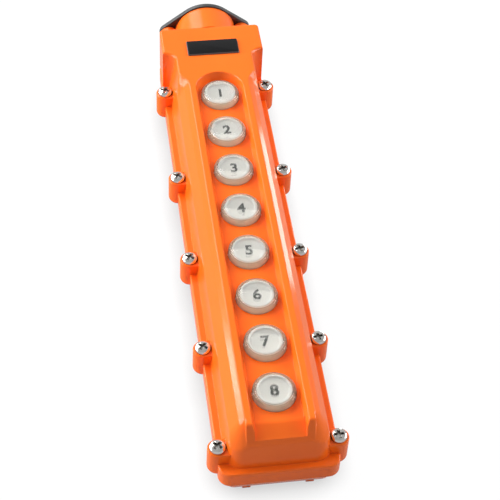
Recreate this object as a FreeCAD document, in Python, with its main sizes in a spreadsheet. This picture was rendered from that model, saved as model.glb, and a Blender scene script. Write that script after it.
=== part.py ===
"""Eight-button pendant switch, lying on its back.

Every piece is drawn with x across the case, y from the case's bottom end towards the cable end and z up from
the surface that the feet stand on. Each piece is then placed so that the middle of the whole length is at y = 0.
"""
import FreeCAD, Part
import Sketcher
import math
import os
import re

BUTTONS = 8
CHASSIS_SCREW_ROWS = (1, 4, 7)
SPRING_TURNS = 4
CLOSE = 0.01
SMOOTH_BEND = 5

# Driving dimensions in millimetres and degrees: name, value, meaning
SIZES = (
    ("case_length", 336, "flange at the bottom end to the end face of the head"),
    ("flange_half", 33.9, "half width over the flange of both case halves"),
    ("flange_corner", 7, "plan radius of the flange corners"),
    ("flange_thick", 3, "cover flange above the parting plane"),
    ("flange_round", 1, "rounding of the flange's upper edge"),
    ("parting_height", 18.5, "parting plane of cover and tray"),
    ("rim_width", 7, "flange edge to the cavity, both halves"),
    ("cavity_corner", 4, "plan radius of the cavity corners"),
    ("rim_depth", 7.2, "upright edge of the tray below the parting plane"),
    ("tray_inset", 0.6, "step from the tray's edge in to its sloping sides"),
    ("tray_slope", 24, "lean of the tray's sides"),
    ("tray_corner", 9, "plan radius of the tray's sloping corners"),
    ("tray_floor", 3, "thickness of the tray's floor"),
    ("tray_edge_round", 1.5, "rounding of the tray's bottom edge"),
    ("foot_height", 2, "height of the feet under the tray"),
    ("foot_length", 6, "length of a foot"),
    ("foot_width", 4.5, "width of a foot"),
    ("foot_half_spacing", 17.8, "middle of the case to the middle of a foot"),
    ("foot_end_gap", 5.2, "case end to the near edge of a foot"),
    ("lug_radius", 5.8, "outer radius of a screw lug"),
    ("lug_top", 29, "height of the seat under a cover screw's head"),
    ("lug_drop", 8.5, "lug below the parting plane"),
    ("lug_round", 3.5, "rounding under a lug"),
    ("lug_edge_round", 0.6, "rounding of a lug's seat"),
    ("screw_half_spacing", 33.4, "middle of the case to a cover screw"),
    ("first_screw", 13.8, "case end to the first pair of cover screws"),
    ("screw_pitch", 68, "spacing of the lower four pairs"),
    ("top_screw_gap", 79.5, "fourth pair to the fifth pair"),
    ("screw_shank_radius", 2, "shank of a cover screw"),
    ("screw_pilot_gap", 0.05, "shank to its pilot hole"),
    ("screw_hole_radius", 2.7, "clearance hole in a cover lug or clamp ear"),
    ("screw_head_radius", 4.7, "head of a cover or clamp screw"),
    ("screw_head_height", 2.6, "height of a pan head"),
    ("screw_head_round", 1.6, "rounding of a pan head"),
    ("screw_reach", 7.5, "shank below the parting plane"),
    ("cover_foot_half", 29.7, "half width of the cover where it stands on its flange"),
    ("cover_end_gap", 3.9, "case end to the foot of the cover's end wall"),
    ("cover_corner", 9.5, "plan radius of the cover's corners at the foot"),
    ("cover_draft", 8.45, "lean of the cover's walls"),
    ("face_height", 50.8, "height of the rails and of the head's face"),
    ("upper_facet_slope", 45, "lean of the upper facets outside the rails"),
    ("upper_facet_depth", 3.25, "height of the upper facets"),
    ("facet_slope", 29.1, "lean of the lower facets"),
    ("facet_top_gap", 45, "case end face to the upper end of the facets"),
    ("facet_runout", 12, "radius of the facets' upper ends"),
    ("facet_reach", 15, "depth of the lower facets, past the cover's walls"),
    ("rail_outer_half", 19.2, "middle to the outer edge of a rail"),
    ("rail_inner_half", 15.4, "middle to the inner edge of a rail"),
    ("facet_end_gap", 15, "case end to the facet at the lower end"),
    ("facet_corner", 2.5, "plan radius between the end facet and the side facets"),
    ("rail_end_gap", 11.8, "case end to the bend of the rails' ends"),
    ("rail_end_slope", 22, "lean of the rails' ends from upright"),
    ("rail_bend_round", 2.5, "rounding of the bend at the rails' ends"),
    ("rail_end_round", 1, "rounding of the outer edges at the rails' ends"),
    ("rail_foot_height", 38, "height at which the rails' ends run into the end wall"),
    ("rail_round", 1.5, "rounding of the rails' outer edges"),
    ("facet_round", 4, "rounding between the upper and lower facets"),
    ("shoulder_round", 4, "rounding between the facets and the cover's walls"),
    ("channel_depth", 6.2, "depth of the button channel"),
    ("channel_draft", 16, "lean of the channel's walls"),
    ("channel_round", 0.6, "rounding of the channel's upper edges"),
    ("arch_offset", 2, "top button to the centre of the channel's arch"),
    ("crest_gap", 16.5, "case end to the bend of the channel's floor"),
    ("crest_round", 5, "rounding of the bend of the channel's floor"),
    ("ramp_end_height", 39.9, "height of the ramp where it meets the end wall"),
    ("ramp_end_gap", 5.4, "case end to the foot of the ramp"),
    ("ramp_half", 14.2, "half width of the ramp"),
    ("cover_floor", 3, "thickness of the channel's floor"),
    ("cover_wall", 2.8, "thickness of the cover's upper walls"),
    ("head_half", 33.4, "half width of the head"),
    ("head_length", 24.4, "length of the full-width head"),
    ("head_corner", 2.5, "plan radius of the head's corners"),
    ("head_hollow", 8.4, "radius of the hollow between the head and the cover's sides"),
    ("head_round", 1.6, "rounding of the head's edges"),
    ("neck_radius", 20.6, "outer radius of the cable neck"),
    ("neck_axis_height", 30, "height of the cable's axis"),
    ("neck_length", 20, "head end face to the clamp plate"),
    ("neck_bottom_height", 9.4, "underside of the neck"),
    ("neck_corner", 8, "rounding of the neck's underside"),
    ("clamp_boss_radius", 5.5, "boss for a clamp screw"),
    ("clamp_screw_half", 25, "cable axis to a clamp screw"),
    ("clamp_screw_reach", 13, "clamp screw's shank in its boss"),
    ("plate_thick", 3, "thickness of the clamp plate"),
    ("plate_radius", 21.6, "clamp plate round the cable"),
    ("ear_radius", 6.2, "ear of the clamp plate"),
    ("cable_radius", 7.5, "bore of the rubber bush"),
    ("bush_radius", 10.9, "rubber bush in the neck"),
    ("bush_length", 15, "length of the bush in the neck"),
    ("bush_gap", 0.1, "bush to the neck's bore and to the plate's hole"),
    ("bush_nose_radius", 9.7, "nose of the bush in the clamp plate"),
    ("bush_nose_stand", 1.4, "nose beyond the clamp plate"),
    ("gasket_inset", 3.4, "flange edge to the gasket"),
    ("gasket_width", 1.8, "width of the gasket's groove"),
    ("gasket_depth", 1.6, "depth of the gasket's groove"),
    ("gasket_gap", 0.1, "gasket to the sides of its groove"),
    ("nameplate_width", 34, "width of the plate on the head"),
    ("nameplate_length", 13.6, "length of the plate on the head"),
    ("nameplate_thick", 1.2, "thickness of the plate on the head"),
    ("nameplate_corner", 1, "corner radius of the plate on the head"),
    ("nameplate_top_gap", 21.7, "case end face to the middle of the plate"),
    ("last_button", 35.1, "case end to the lowest button"),
    ("button_pitch", 34, "spacing of the buttons"),
    ("button_travel", 4, "stroke of a button"),
    ("hole_gap", 0.3, "button cap to its hole"),
    ("cap_radius", 12.1, "skirt of a button cap"),
    ("cap_neck_radius", 11.5, "button cap above its skirt"),
    ("cap_top_radius", 11.3, "button cap at its top edge"),
    ("cap_bevel", 0.5, "bevel of a button cap"),
    ("cap_skirt_stand", 1.4, "skirt above the channel's floor"),
    ("cap_drop", 1.3, "top of a cap below the rails"),
    ("cap_thick", 1, "thickness of a cap's top"),
    ("cap_fit", 0.15, "drum to the inside of its cap"),
    ("drum_radius", 10.5, "white drum under the cap"),
    ("drum_fit", 0.1, "drum to the underside of the cap's top"),
    ("dish_rim", 1.5, "width of the drum's raised rim"),
    ("dish_depth", 0.5, "depth of the drum's dish"),
    ("collar_radius", 14.6, "collar that holds a button under the cover"),
    ("collar_thick", 2.5, "thickness of the collar"),
    ("seal_thick", 1.5, "thickness of a button's rubber washer"),
    ("seal_radius", 15.6, "outer radius of a button's rubber washer"),
    ("seal_gap", 0.5, "button cap to its rubber washer"),
    ("chassis_half", 21.5, "half width of the steel strip"),
    ("chassis_thick", 1.5, "thickness of the steel strip"),
    ("chassis_end_gap", 2.5, "end block to the end of the steel strip"),
    ("chassis_boss_height", 4, "bosses above the tray's floor"),
    ("chassis_boss_radius", 3.6, "radius of a boss"),
    ("chassis_screw_half", 18.4, "middle of the case to a strip screw"),
    ("chassis_screw_radius", 1.4, "shank of a strip screw"),
    ("chassis_head_radius", 2.7, "head of a strip screw"),
    ("chassis_head_height", 1.7, "height of a strip screw's head"),
    ("chassis_hole_gap", 0.3, "strip screw to its hole in the strip"),
    ("block_half", 15.3, "half width of a switch block"),
    ("block_length", 30, "length of a switch block along the case"),
    ("block_base", 3, "base of a switch block"),
    ("block_wall", 3, "end wall of a switch block"),
    ("block_height", 20.5, "height of a switch block"),
    ("block_top", 3, "guide plate of a switch block"),
    ("peg_radius", 1.9, "peg that fixes a block to the strip"),
    ("peg_gap", 0.1, "peg to its hole in the strip"),
    ("peg_half_spacing", 10, "middle of a block to a peg"),
    ("stem_radius", 4, "button stem"),
    ("guide_gap", 0.1, "button stem to its guide"),
    ("tail_radius", 2.2, "lower end of the stem"),
    ("tail_gap", 0.4, "stem end to the block's base at full stroke"),
    ("bridge_fit", 0.05, "bridge to the stem's lower end"),
    ("bridge_drop", 2.8, "bridge below the guide plate"),
    ("bridge_half", 11, "half length of a contact bridge"),
    ("bridge_width", 8, "width of a contact bridge"),
    ("bridge_thick", 1.2, "thickness of a contact bridge"),
    ("contact_radius", 2.2, "contact rivet"),
    ("contact_height", 0.7, "height of a contact rivet"),
    ("contact_gap", 0.2, "left between the rivets at full stroke"),
    ("strip_inner", 6.5, "cable-side end of a fixed contact strip"),
    ("strip_outer", 20.5, "terminal end of a fixed contact strip"),
    ("strip_width", 7, "width of a fixed contact strip"),
    ("strip_thick", 1, "thickness of a fixed contact strip"),
    ("ledge_width", 10, "width of the ledge under a contact strip"),
    ("terminal_half", 17.7, "middle of a block to a terminal screw"),
    ("terminal_radius", 2.4, "head of a terminal screw"),
    ("terminal_height", 1.8, "height of a terminal screw's head"),
    ("terminal_shank_radius", 1.3, "shank of a terminal screw"),
    ("terminal_reach", 2.5, "shank in the ledge"),
    ("terminal_fit", 0.05, "terminal screw to its hole"),
    ("spring_inner", 2.7, "inner radius of a return spring"),
    ("spring_wire", 1.2, "wire thickness of a return spring"),
)
ALIASES = {alias for alias, value, meaning in SIZES}

# Places worked out from the driving dimensions
OVERALL = "(case_length + neck_length + plate_thick + screw_head_height)"
FLANGE_TOP = "(parting_height + flange_thick)"
RIM_BOTTOM = "(parting_height - rim_depth)"
TRAY_INSIDE = "(foot_height + tray_floor)"
CAVITY_HALF = "(flange_half - rim_width)"
HEAD_START = "(case_length - head_length)"
NECK_END = "(case_length + neck_length)"
PLATE_END = "(case_length + neck_length + plate_thick)"
CHANNEL_FLOOR = "(face_height - channel_depth)"
CEILING = "(face_height - channel_depth - cover_floor)"
TOP_BUTTON = f"(last_button + {BUTTONS - 1} * button_pitch)"
COLLAR_TOP = f"({CEILING} - seal_thick)"
COLLAR_BOTTOM = f"({COLLAR_TOP} - collar_thick)"
CAP_TOP = "(face_height - cap_drop)"
DRUM_TOP = f"({CAP_TOP} - cap_thick - drum_fit)"
CHASSIS_BOTTOM = f"({TRAY_INSIDE} + chassis_boss_height)"
CHASSIS_TOP = f"({CHASSIS_BOTTOM} + chassis_thick)"
BLOCK_FLOOR = f"({CHASSIS_TOP} + block_base)"
BLOCK_TOP = f"({CHASSIS_TOP} + block_height)"
GUIDE_BOTTOM = f"({BLOCK_TOP} - block_top)"
BRIDGE_TOP = f"({GUIDE_BOTTOM} - bridge_drop)"
BRIDGE_BOTTOM = f"({BRIDGE_TOP} - bridge_thick)"
FIXED_CONTACT_TOP = f"({BRIDGE_BOTTOM} - contact_height - button_travel - contact_gap)"
STRIP_TOP = f"({FIXED_CONTACT_TOP} - contact_height)"
LEDGE_TOP = f"({STRIP_TOP} - strip_thick)"
CONTACT_X = "(bridge_half - contact_radius)"
SEAL_INNER = "(cap_radius + seal_gap)"
HOLE_RADIUS = "(cap_radius + hole_gap)"
SCREW_ROWS = [f"(first_screw + {row} * screw_pitch)" for row in range(4)]
SCREW_ROWS.append("(first_screw + 3 * screw_pitch + top_screw_gap)")
COVER_SCREWS = [(f"{side}screw_half_spacing", row) for side in ("", "-") for row in SCREW_ROWS]
BUTTON_ROWS = [f"(last_button + {BUTTONS - 1 - place} * button_pitch)" for place in range(BUTTONS)]
CHASSIS_SCREWS = [
    (f"{side}chassis_screw_half", f"(last_button + {row - 0.5} * button_pitch)")
    for side in ("", "-")
    for row in CHASSIS_SCREW_ROWS
]
CLAMP_SCREWS = [(f"{side}clamp_screw_half", "neck_axis_height") for side in ("", "-")]
TERMINALS = [(f"{side}terminal_half", row) for side in ("", "-") for row in BUTTON_ROWS]
FIXED_CONTACTS = [(f"{side}{CONTACT_X}", row) for side in ("", "-") for row in BUTTON_ROWS]
FAR_OUTSIDE = "(2 * flange_half)"
FACET_BEND = "(face_height - upper_facet_depth)"

doc = FreeCAD.newDocument("pendant_switch")
sheet = doc.addObject("Spreadsheet::Sheet", "sizes")
pieces = []


def fill_sheet():
    """Write the driving dimensions into the sheet, one row each."""
    for row, (alias, value, meaning) in enumerate(SIZES, start=1):
        sheet.set(f"A{row}", meaning)
        sheet.set(f"B{row}", str(value))
        sheet.setAlias(f"B{row}", alias)
    doc.recompute()


def bound(text):
    """Expression in which each named dimension is read from the sheet."""
    return re.sub(r"[a-z_]+", lambda word: f"sizes.{word[0]}" if word[0] in ALIASES else word[0], text)


def number(text):
    """Present value of an expression."""
    return float(sheet.evalExpression(bound(text)))


def new_piece(name, row="0"):
    """Body of one piece, placed along the case; row is added to its place."""
    body = doc.addObject("PartDesign::Body", name)
    body.Label = name
    body.AllowCompound = True
    body.setExpression("Placement.Base.y", bound(f"{row} - {OVERALL} / 2"))
    pieces.append(body)
    return body


def new_sketch(body, name, plane, place="0"):
    """Sketch on an origin plane of the body, moved to a height (XY), a y (XZ) or an x (YZ)."""
    drawing = body.newObject("Sketcher::SketchObject", f"{body.Name}_{name}")
    support = next(feature for feature in body.Origin.OriginFeatures if feature.Role == plane)
    drawing.AttachmentSupport = [(support, "")]
    drawing.MapMode = "FlatFace"
    sign = "-" if plane == "XZ_Plane" else ""
    drawing.setExpression("AttachmentOffset.Base.z", bound(f"{sign}1 * ({place})"))
    return drawing


def pin(drawing, element, vertex, x, y):
    """Hold a point of the sketch at x, y."""
    for kind, text in (("DistanceX", x), ("DistanceY", y)):
        index = drawing.addConstraint(Sketcher.Constraint(kind, -1, 1, element, vertex, number(text)))
        drawing.setExpression(f"Constraints[{index}]", bound(text))


def add_circle(drawing, x, y, radius):
    """Circle about x, y."""
    centre = FreeCAD.Vector(number(x), number(y), 0)
    element = drawing.addGeometry(Part.Circle(centre, FreeCAD.Vector(0, 0, 1), number(radius)))
    pin(drawing, element, 3, x, y)
    index = drawing.addConstraint(Sketcher.Constraint("Radius", element, number(radius)))
    drawing.setExpression(f"Constraints[{index}]", bound(radius))


def arc_between(start, end, centre, turn):
    """Arc from start to end about a centre, anticlockwise for a turn of 1 and clockwise for -1."""
    spoke = start - centre
    middle_way = (start + end) * 0.5 - centre
    if middle_way.Length < spoke.Length * 0.001:
        middle_way = FreeCAD.Vector(-spoke.y, spoke.x, 0) * turn
    middle = centre + middle_way.normalize() * spoke.Length
    return Part.Arc(start, middle, end)


def add_outline(drawing, corners):
    """Closed outline; a corner with a centre and a turn begins an arc, the others a straight edge."""
    spots = [FreeCAD.Vector(number(corner[0]), number(corner[1]), 0) for corner in corners]
    first = drawing.GeometryCount
    ends = []
    for place, corner in enumerate(corners):
        start = spots[place]
        end = spots[(place + 1) % len(spots)]
        if len(corner) == 2:
            drawing.addGeometry(Part.LineSegment(start, end))
            ends.append((1, 2))
            continue
        centre = FreeCAD.Vector(number(corner[2]), number(corner[3]), 0)
        drawing.addGeometry(arc_between(start, end, centre, corner[4]))
        ends.append((1, 2) if corner[4] > 0 else (2, 1))
    for place, corner in enumerate(corners):
        after = (place + 1) % len(corners)
        joint = (first + place, ends[place][1], first + after, ends[after][0])
        drawing.addConstraint(Sketcher.Constraint("Coincident", *joint))
        pin(drawing, first + place, ends[place][0], corner[0], corner[1])
    for place, corner in enumerate(corners):
        if len(corner) > 2:
            chord = spots[(place + 1) % len(spots)] - spots[place]
            kind, text = ("DistanceY", corner[3]) if abs(chord.x) > abs(chord.y) else ("DistanceX", corner[2])
            index = drawing.addConstraint(Sketcher.Constraint(kind, -1, 1, first + place, 3, number(text)))
            drawing.setExpression(f"Constraints[{index}]", bound(text))


def add_rectangle(drawing, left, right, low, high):
    """Rectangle between two x and two y values."""
    add_outline(drawing, [(left, low), (right, low), (right, high), (left, high)])


def add_rounded(drawing, half, low, high, radius):
    """Rectangle about x = 0 with round corners."""
    side = f"({half})"
    inner = f"({half} - {radius})"
    below = f"({low} + {radius})"
    above = f"({high} - {radius})"
    add_outline(
        drawing,
        [
            (f"-{inner}", low),
            (inner, low, inner, below, 1),
            (side, below),
            (side, above, inner, above, 1),
            (inner, high),
            (f"-{inner}", high, f"-{inner}", above, 1),
            (f"-{side}", above),
            (f"-{side}", below, f"-{inner}", below, 1),
        ],
    )


def facing_back(drawing):
    """Whether the sketch's own direction is -y, as on the XZ plane."""
    return "XZ_Plane" in drawing.AttachmentSupport[0][0].Role


def pad(body, drawing, length, forward=True, taper="0", both_ways=False):
    """Pad towards the positive axis, or the other way."""
    feature = body.newObject("PartDesign::Pad", f"{drawing.Name}_pad")
    feature.Profile = drawing
    feature.setExpression("Length", bound(length))
    feature.setExpression("TaperAngle", bound(taper))
    feature.Reversed = forward == facing_back(drawing)
    feature.SideType = "Symmetric" if both_ways else "One side"
    return feature


def pocket(body, drawing, length, forward=True, taper="0", both_ways=False):
    """Pocket towards the positive axis, or the other way, which has to take material away."""
    doc.recompute()
    before = body.Shape.Volume
    feature = body.newObject("PartDesign::Pocket", f"{drawing.Name}_pocket")
    feature.Profile = drawing
    feature.setExpression("Length", bound(length))
    feature.setExpression("TaperAngle", bound(taper))
    feature.Reversed = forward != facing_back(drawing)
    feature.SideType = "Symmetric" if both_ways else "One side"
    doc.recompute()
    if not body.Shape.Volume < before:
        raise ValueError(f"{feature.Name} cuts nothing")
    return feature


def round_edges(body, name, radius, chosen):
    """Fillet on the edges of the body that the test picks."""
    doc.recompute()
    base = body.Tip
    names = [f"Edge{place}" for place, edge in enumerate(base.Shape.Edges, start=1) if chosen(edge)]
    if not names:
        raise ValueError(f"{body.Name}: no edge for {name}")
    feature = body.newObject("PartDesign::Fillet", f"{body.Name}_{name}")
    feature.Base = (base, names)
    feature.setExpression("Radius", bound(radius))
    return feature


def revolve(body, corners):
    """Solid of revolution about the body's own z axis from corners of radius and height."""
    drawing = new_sketch(body, "profile", "XZ_Plane")
    add_outline(drawing, corners)
    feature = body.newObject("PartDesign::Revolution", f"{drawing.Name}_turned")
    feature.Profile = drawing
    feature.ReferenceAxis = (drawing, ["V_Axis"])
    return feature


def near(value, text):
    """Whether a measured value is the size that the text gives."""
    return abs(value - number(text)) < CLOSE


def lies_at_height(edge, text):
    """Whether a whole edge lies at one height."""
    return near(edge.BoundBox.ZMin, text) and near(edge.BoundBox.ZMax, text)


def lies_at_row(edge, text):
    """Whether a whole edge lies at one y of the piece's own frame."""
    return near(edge.BoundBox.YMin, text) and near(edge.BoundBox.YMax, text)


def reach_across(edge):
    """Largest distance of an edge from the middle plane."""
    return max(-edge.BoundBox.XMin, edge.BoundBox.XMax)


def is_sharp(shape, edge):
    """Whether the surface turns at an edge, seen at the middle of the edge."""
    spot = edge.valueAt((edge.FirstParameter + edge.LastParameter) / 2)
    normals = [face.normalAt(*face.Surface.parameter(spot)) for face in shape.ancestorsOfType(edge, Part.Face)]
    return math.degrees(normals[0].getAngle(normals[-1])) > SMOOTH_BEND


def pad_circles(body, name, places, radius, low, high):
    """Upright round posts on several places."""
    drawing = new_sketch(body, name, "XY_Plane", low)
    for x, y in places:
        add_circle(drawing, x, y, radius)
    return pad(body, drawing, f"{high} - {low}")


def pocket_circles(body, name, places, radius, top, depth):
    """Upright round holes from a height downwards."""
    drawing = new_sketch(body, name, "XY_Plane", top)
    for x, y in places:
        add_circle(drawing, x, y, radius)
    return pocket(body, drawing, depth, forward=False)


def add_lugs(drawing):
    """Outlines of the ten screw lugs, each a round end on a web."""
    for side, turned in (("", 1), ("-", -1)):
        for row in SCREW_ROWS:
            inner = f"{side}{CAVITY_HALF}"
            middle = f"{side}screw_half_spacing"
            below = f"({row} - {'' if turned > 0 else '-'}lug_radius)"
            above = f"({row} + {'' if turned > 0 else '-'}lug_radius)"
            add_outline(
                drawing,
                [(inner, below), (middle, below, middle, row, 1), (middle, above), (inner, above)],
            )


def add_head(drawing):
    """Plan of the head: round corners at the cable end and hollows towards the cover's sides."""
    corner = "(head_half - head_corner)"
    above = "(case_length - head_corner)"
    waist = "(head_half - head_hollow)"
    below = f"({HEAD_START} - head_hollow)"
    add_outline(
        drawing,
        [
            (f"-{waist}", below),
            (waist, below, "head_half", below, -1),
            ("head_half", HEAD_START),
            ("head_half", above, corner, above, 1),
            (corner, "case_length"),
            (f"-{corner}", "case_length", f"-{corner}", above, 1),
            ("-head_half", above),
            ("-head_half", HEAD_START, "-head_half", below, -1),
        ],
    )


def cover_hump():
    """Raised middle of the cover with its facets and rails, rounded before it is joined to the rest."""
    body = doc.addObject("PartDesign::Body", "cover_hump")
    drawing = new_sketch(body, "foot", "XY_Plane", FLANGE_TOP)
    add_rounded(drawing, "cover_foot_half", "cover_end_gap", f"({HEAD_START} + cover_corner)", "cover_corner")
    pad(body, drawing, f"face_height - {FLANGE_TOP}", taper="-cover_draft")
    cut_facets(body)
    round_edges(
        body,
        "facet_edges",
        "facet_round",
        lambda edge: lies_at_height(edge, FACET_BEND) and is_sharp(body.Tip.Shape, edge),
    )
    round_edges(
        body,
        "shoulder",
        "shoulder_round",
        lambda edge: edge.BoundBox.ZMax > number("lug_top")
        and not lies_at_height(edge, "face_height")
        and is_sharp(body.Tip.Shape, edge),
    )
    round_edges(
        body,
        "rail_edges",
        "rail_round",
        lambda edge: lies_at_height(edge, "face_height") and is_sharp(body.Tip.Shape, edge),
    )
    return body


def cover_walls(body):
    """Flange, head, lugs, raised middle and neck of the cover."""
    flange = new_sketch(body, "flange", "XY_Plane", "parting_height")
    add_rounded(flange, "flange_half", "0", "case_length", "flange_corner")
    pad(body, flange, "flange_thick")
    round_edges(body, "flange_edge", "flange_round", lambda edge: lies_at_height(edge, FLANGE_TOP))
    head = new_sketch(body, "head", "XY_Plane", FLANGE_TOP)
    add_head(head)
    pad(body, head, f"face_height - {FLANGE_TOP}")
    round_edges(body, "head_edge", "head_round", lambda edge: lies_at_height(edge, "face_height"))
    lugs = new_sketch(body, "lugs", "XY_Plane", "parting_height")
    add_lugs(lugs)
    pad(body, lugs, "lug_top - parting_height")
    round_edges(body, "lug_edges", "lug_edge_round", lambda edge: lies_at_height(edge, "lug_top"))
    joined = body.newObject("PartDesign::Boolean", "front_cover_joined")
    joined.setObjects([cover_hump(), rail_ends()])
    joined.Type = "Fuse"
    neck = new_sketch(body, "neck", "XZ_Plane", "case_length")
    add_outline(
        neck,
        [
            ("-neck_radius", "parting_height"),
            ("neck_radius", "parting_height"),
            ("neck_radius", "neck_axis_height", "0", "neck_axis_height", 1),
            ("-neck_radius", "neck_axis_height"),
        ],
    )
    pad(body, neck, "neck_length")
    bosses = new_sketch(body, "bosses", "XZ_Plane", "case_length")
    for x, z in CLAMP_SCREWS:
        add_circle(bosses, x, z, "clamp_boss_radius")
    pad(body, bosses, "neck_length")


def cut_facets(body):
    """Two rows of sloping facets outside the rails and round their lower ends, with rounded upper ends."""
    upper = new_sketch(body, "upper_facets", "XY_Plane", "face_height")
    add_facets(upper, "0")
    pocket(body, upper, "upper_facet_depth", forward=False, taper="-upper_facet_slope")
    lower = new_sketch(body, "lower_facets", "XY_Plane", FACET_BEND)
    add_facets(lower, "(upper_facet_depth * tan(upper_facet_slope * 1 deg))")
    pocket(body, lower, "facet_reach", forward=False, taper="-facet_slope")


def add_facets(drawing, out):
    """Outline of what the facets cut away; out is how far it lies outside the rails' edge."""
    stop = "(case_length - facet_top_gap)"
    bend = f"({stop} - facet_runout)"
    top = f"({stop} - {out})"
    side = f"(rail_outer_half + {out})"
    end = f"(facet_end_gap - {out})"
    wide = "(rail_outer_half + facet_runout)"
    inner = "(rail_outer_half - facet_corner)"
    turn = "(facet_end_gap + facet_corner)"
    add_outline(
        drawing,
        [
            (f"-{FAR_OUTSIDE}", f"-{FAR_OUTSIDE}"),
            (FAR_OUTSIDE, f"-{FAR_OUTSIDE}"),
            (FAR_OUTSIDE, top),
            (wide, top, wide, bend, 1),
            (side, bend),
            (side, turn, inner, turn, -1),
            (inner, end),
            (f"-{inner}", end, f"-{inner}", turn, -1),
            (f"-{side}", turn),
            (f"-{side}", bend, f"-{wide}", bend, 1),
            (f"-{wide}", top),
            (f"-{FAR_OUTSIDE}", top),
        ],
    )


def rail_ends():
    """Lower ends of the rails, which bend down and run into the end wall; the channel later parts them."""
    body = doc.addObject("PartDesign::Body", "rail_ends")
    drawing = new_sketch(body, "bend", "YZ_Plane")
    foot = "(rail_end_gap - (face_height - rail_foot_height) * tan(rail_end_slope * 1 deg))"
    inside = "(facet_end_gap + facet_corner)"
    along = "rail_bend_round * tan((45 - rail_end_slope / 2) * 1 deg)"
    bend = f"(rail_end_gap + {along})"
    add_outline(
        drawing,
        [
            (foot, "rail_foot_height"),
            (inside, "rail_foot_height"),
            (inside, "face_height"),
            (bend, "face_height", bend, "(face_height - rail_bend_round)", 1),
            (
                f"(rail_end_gap - {along} * sin(rail_end_slope * 1 deg))",
                f"(face_height - {along} * cos(rail_end_slope * 1 deg))",
            ),
        ],
    )
    pad(body, drawing, "2 * rail_outer_half", both_ways=True)
    round_edges(
        body,
        "outer_edges",
        "rail_end_round",
        lambda edge: lies_at_height(edge, "face_height")
        and near(edge.BoundBox.XMin, f"{edge.BoundBox.XMax}")
        and near(reach_across(edge), "rail_outer_half"),
    )
    return body


def cover_channel(body):
    """Button channel with drafted walls and an arched end, and the ramp at its lower end."""
    channel = new_sketch(body, "channel", "XY_Plane", "face_height")
    arch = f"({TOP_BUTTON} + arch_offset)"
    add_outline(
        channel,
        [
            ("-rail_inner_half", f"-{FAR_OUTSIDE}"),
            ("rail_inner_half", f"-{FAR_OUTSIDE}"),
            ("rail_inner_half", arch, "0", arch, 1),
            ("-rail_inner_half", arch),
        ],
    )
    pocket(body, channel, "channel_depth", forward=False, taper="-channel_draft")
    inside = number("rail_inner_half") + CLOSE
    round_edges(
        body,
        "channel_edges",
        "channel_round",
        lambda edge: lies_at_height(edge, "face_height") and reach_across(edge) < inside,
    )
    ramp = new_sketch(body, "ramp", "YZ_Plane")
    slope = f"(({CHANNEL_FLOOR} - ramp_end_height) / (crest_gap - ramp_end_gap))"
    steepness = f"sqrt(1 + {slope} * {slope})"
    run_out = f"(crest_round * ({steepness} - 1) / {slope})"
    floor_end = f"(crest_gap + {run_out})"
    ramp_top = f"(crest_gap - {run_out} / {steepness})"
    ramp_top_height = f"({CHANNEL_FLOOR} - {run_out} * {slope} / {steepness})"
    add_outline(
        ramp,
        [
            (f"-{FAR_OUTSIDE}", "ramp_end_height"),
            ("ramp_end_gap", "ramp_end_height"),
            (ramp_top, ramp_top_height, floor_end, f"({CHANNEL_FLOOR} - crest_round)", -1),
            (floor_end, CHANNEL_FLOOR),
            (floor_end, "face_height"),
            (f"-{FAR_OUTSIDE}", "face_height"),
        ],
    )
    pocket(body, ramp, "2 * ramp_half", both_ways=True)


def cover_inside(body):
    """Cavity under the channel and in the head, cable bore and all holes."""
    low = new_sketch(body, "low_cavity", "XY_Plane", "parting_height")
    add_rounded(low, CAVITY_HALF, "rim_width", "(case_length - rim_width)", "cavity_corner")
    pocket(body, low, "(ramp_end_height - cover_wall) - parting_height", taper="-cover_draft")
    deep = new_sketch(body, "deep_cavity", "XY_Plane", "parting_height")
    add_rounded(deep, "seal_radius + seal_gap", "crest_gap", "(case_length - rim_width)", "cavity_corner")
    pocket(body, deep, f"{CEILING} - parting_height")
    head = new_sketch(body, "head_cavity", "XY_Plane", "parting_height")
    add_rounded(head, CAVITY_HALF, f"({HEAD_START} + cover_wall)", "(case_length - rim_width)", "cavity_corner")
    pocket(body, head, "(face_height - cover_wall) - parting_height")
    bore = new_sketch(body, "bush_bore", "XZ_Plane", NECK_END)
    add_circle(bore, "0", "neck_axis_height", "bush_radius + bush_gap")
    pocket(body, bore, "bush_length", forward=False)
    entry = new_sketch(body, "cable_hole", "XZ_Plane", NECK_END)
    add_circle(entry, "0", "neck_axis_height", "bush_nose_radius")
    pocket(body, entry, "neck_length + rim_width", forward=False)
    pilots = new_sketch(body, "clamp_pilots", "XZ_Plane", NECK_END)
    for x, z in CLAMP_SCREWS:
        add_circle(pilots, x, z, "screw_shank_radius + screw_pilot_gap")
    pocket(body, pilots, "clamp_screw_reach + screw_head_height", forward=False)
    button_places = [("0", row) for row in BUTTON_ROWS]
    pocket_circles(body, "button_holes", button_places, HOLE_RADIUS, "face_height", "channel_depth + cover_floor")
    pocket_circles(body, "lug_holes", COVER_SCREWS, "screw_hole_radius", "lug_top", "lug_top - parting_height")


def make_front_cover():
    """Moulded cover with rails, button channel, head and cable neck."""
    body = new_piece("front_cover")
    cover_walls(body)
    cover_channel(body)
    cover_inside(body)
    return body


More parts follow.
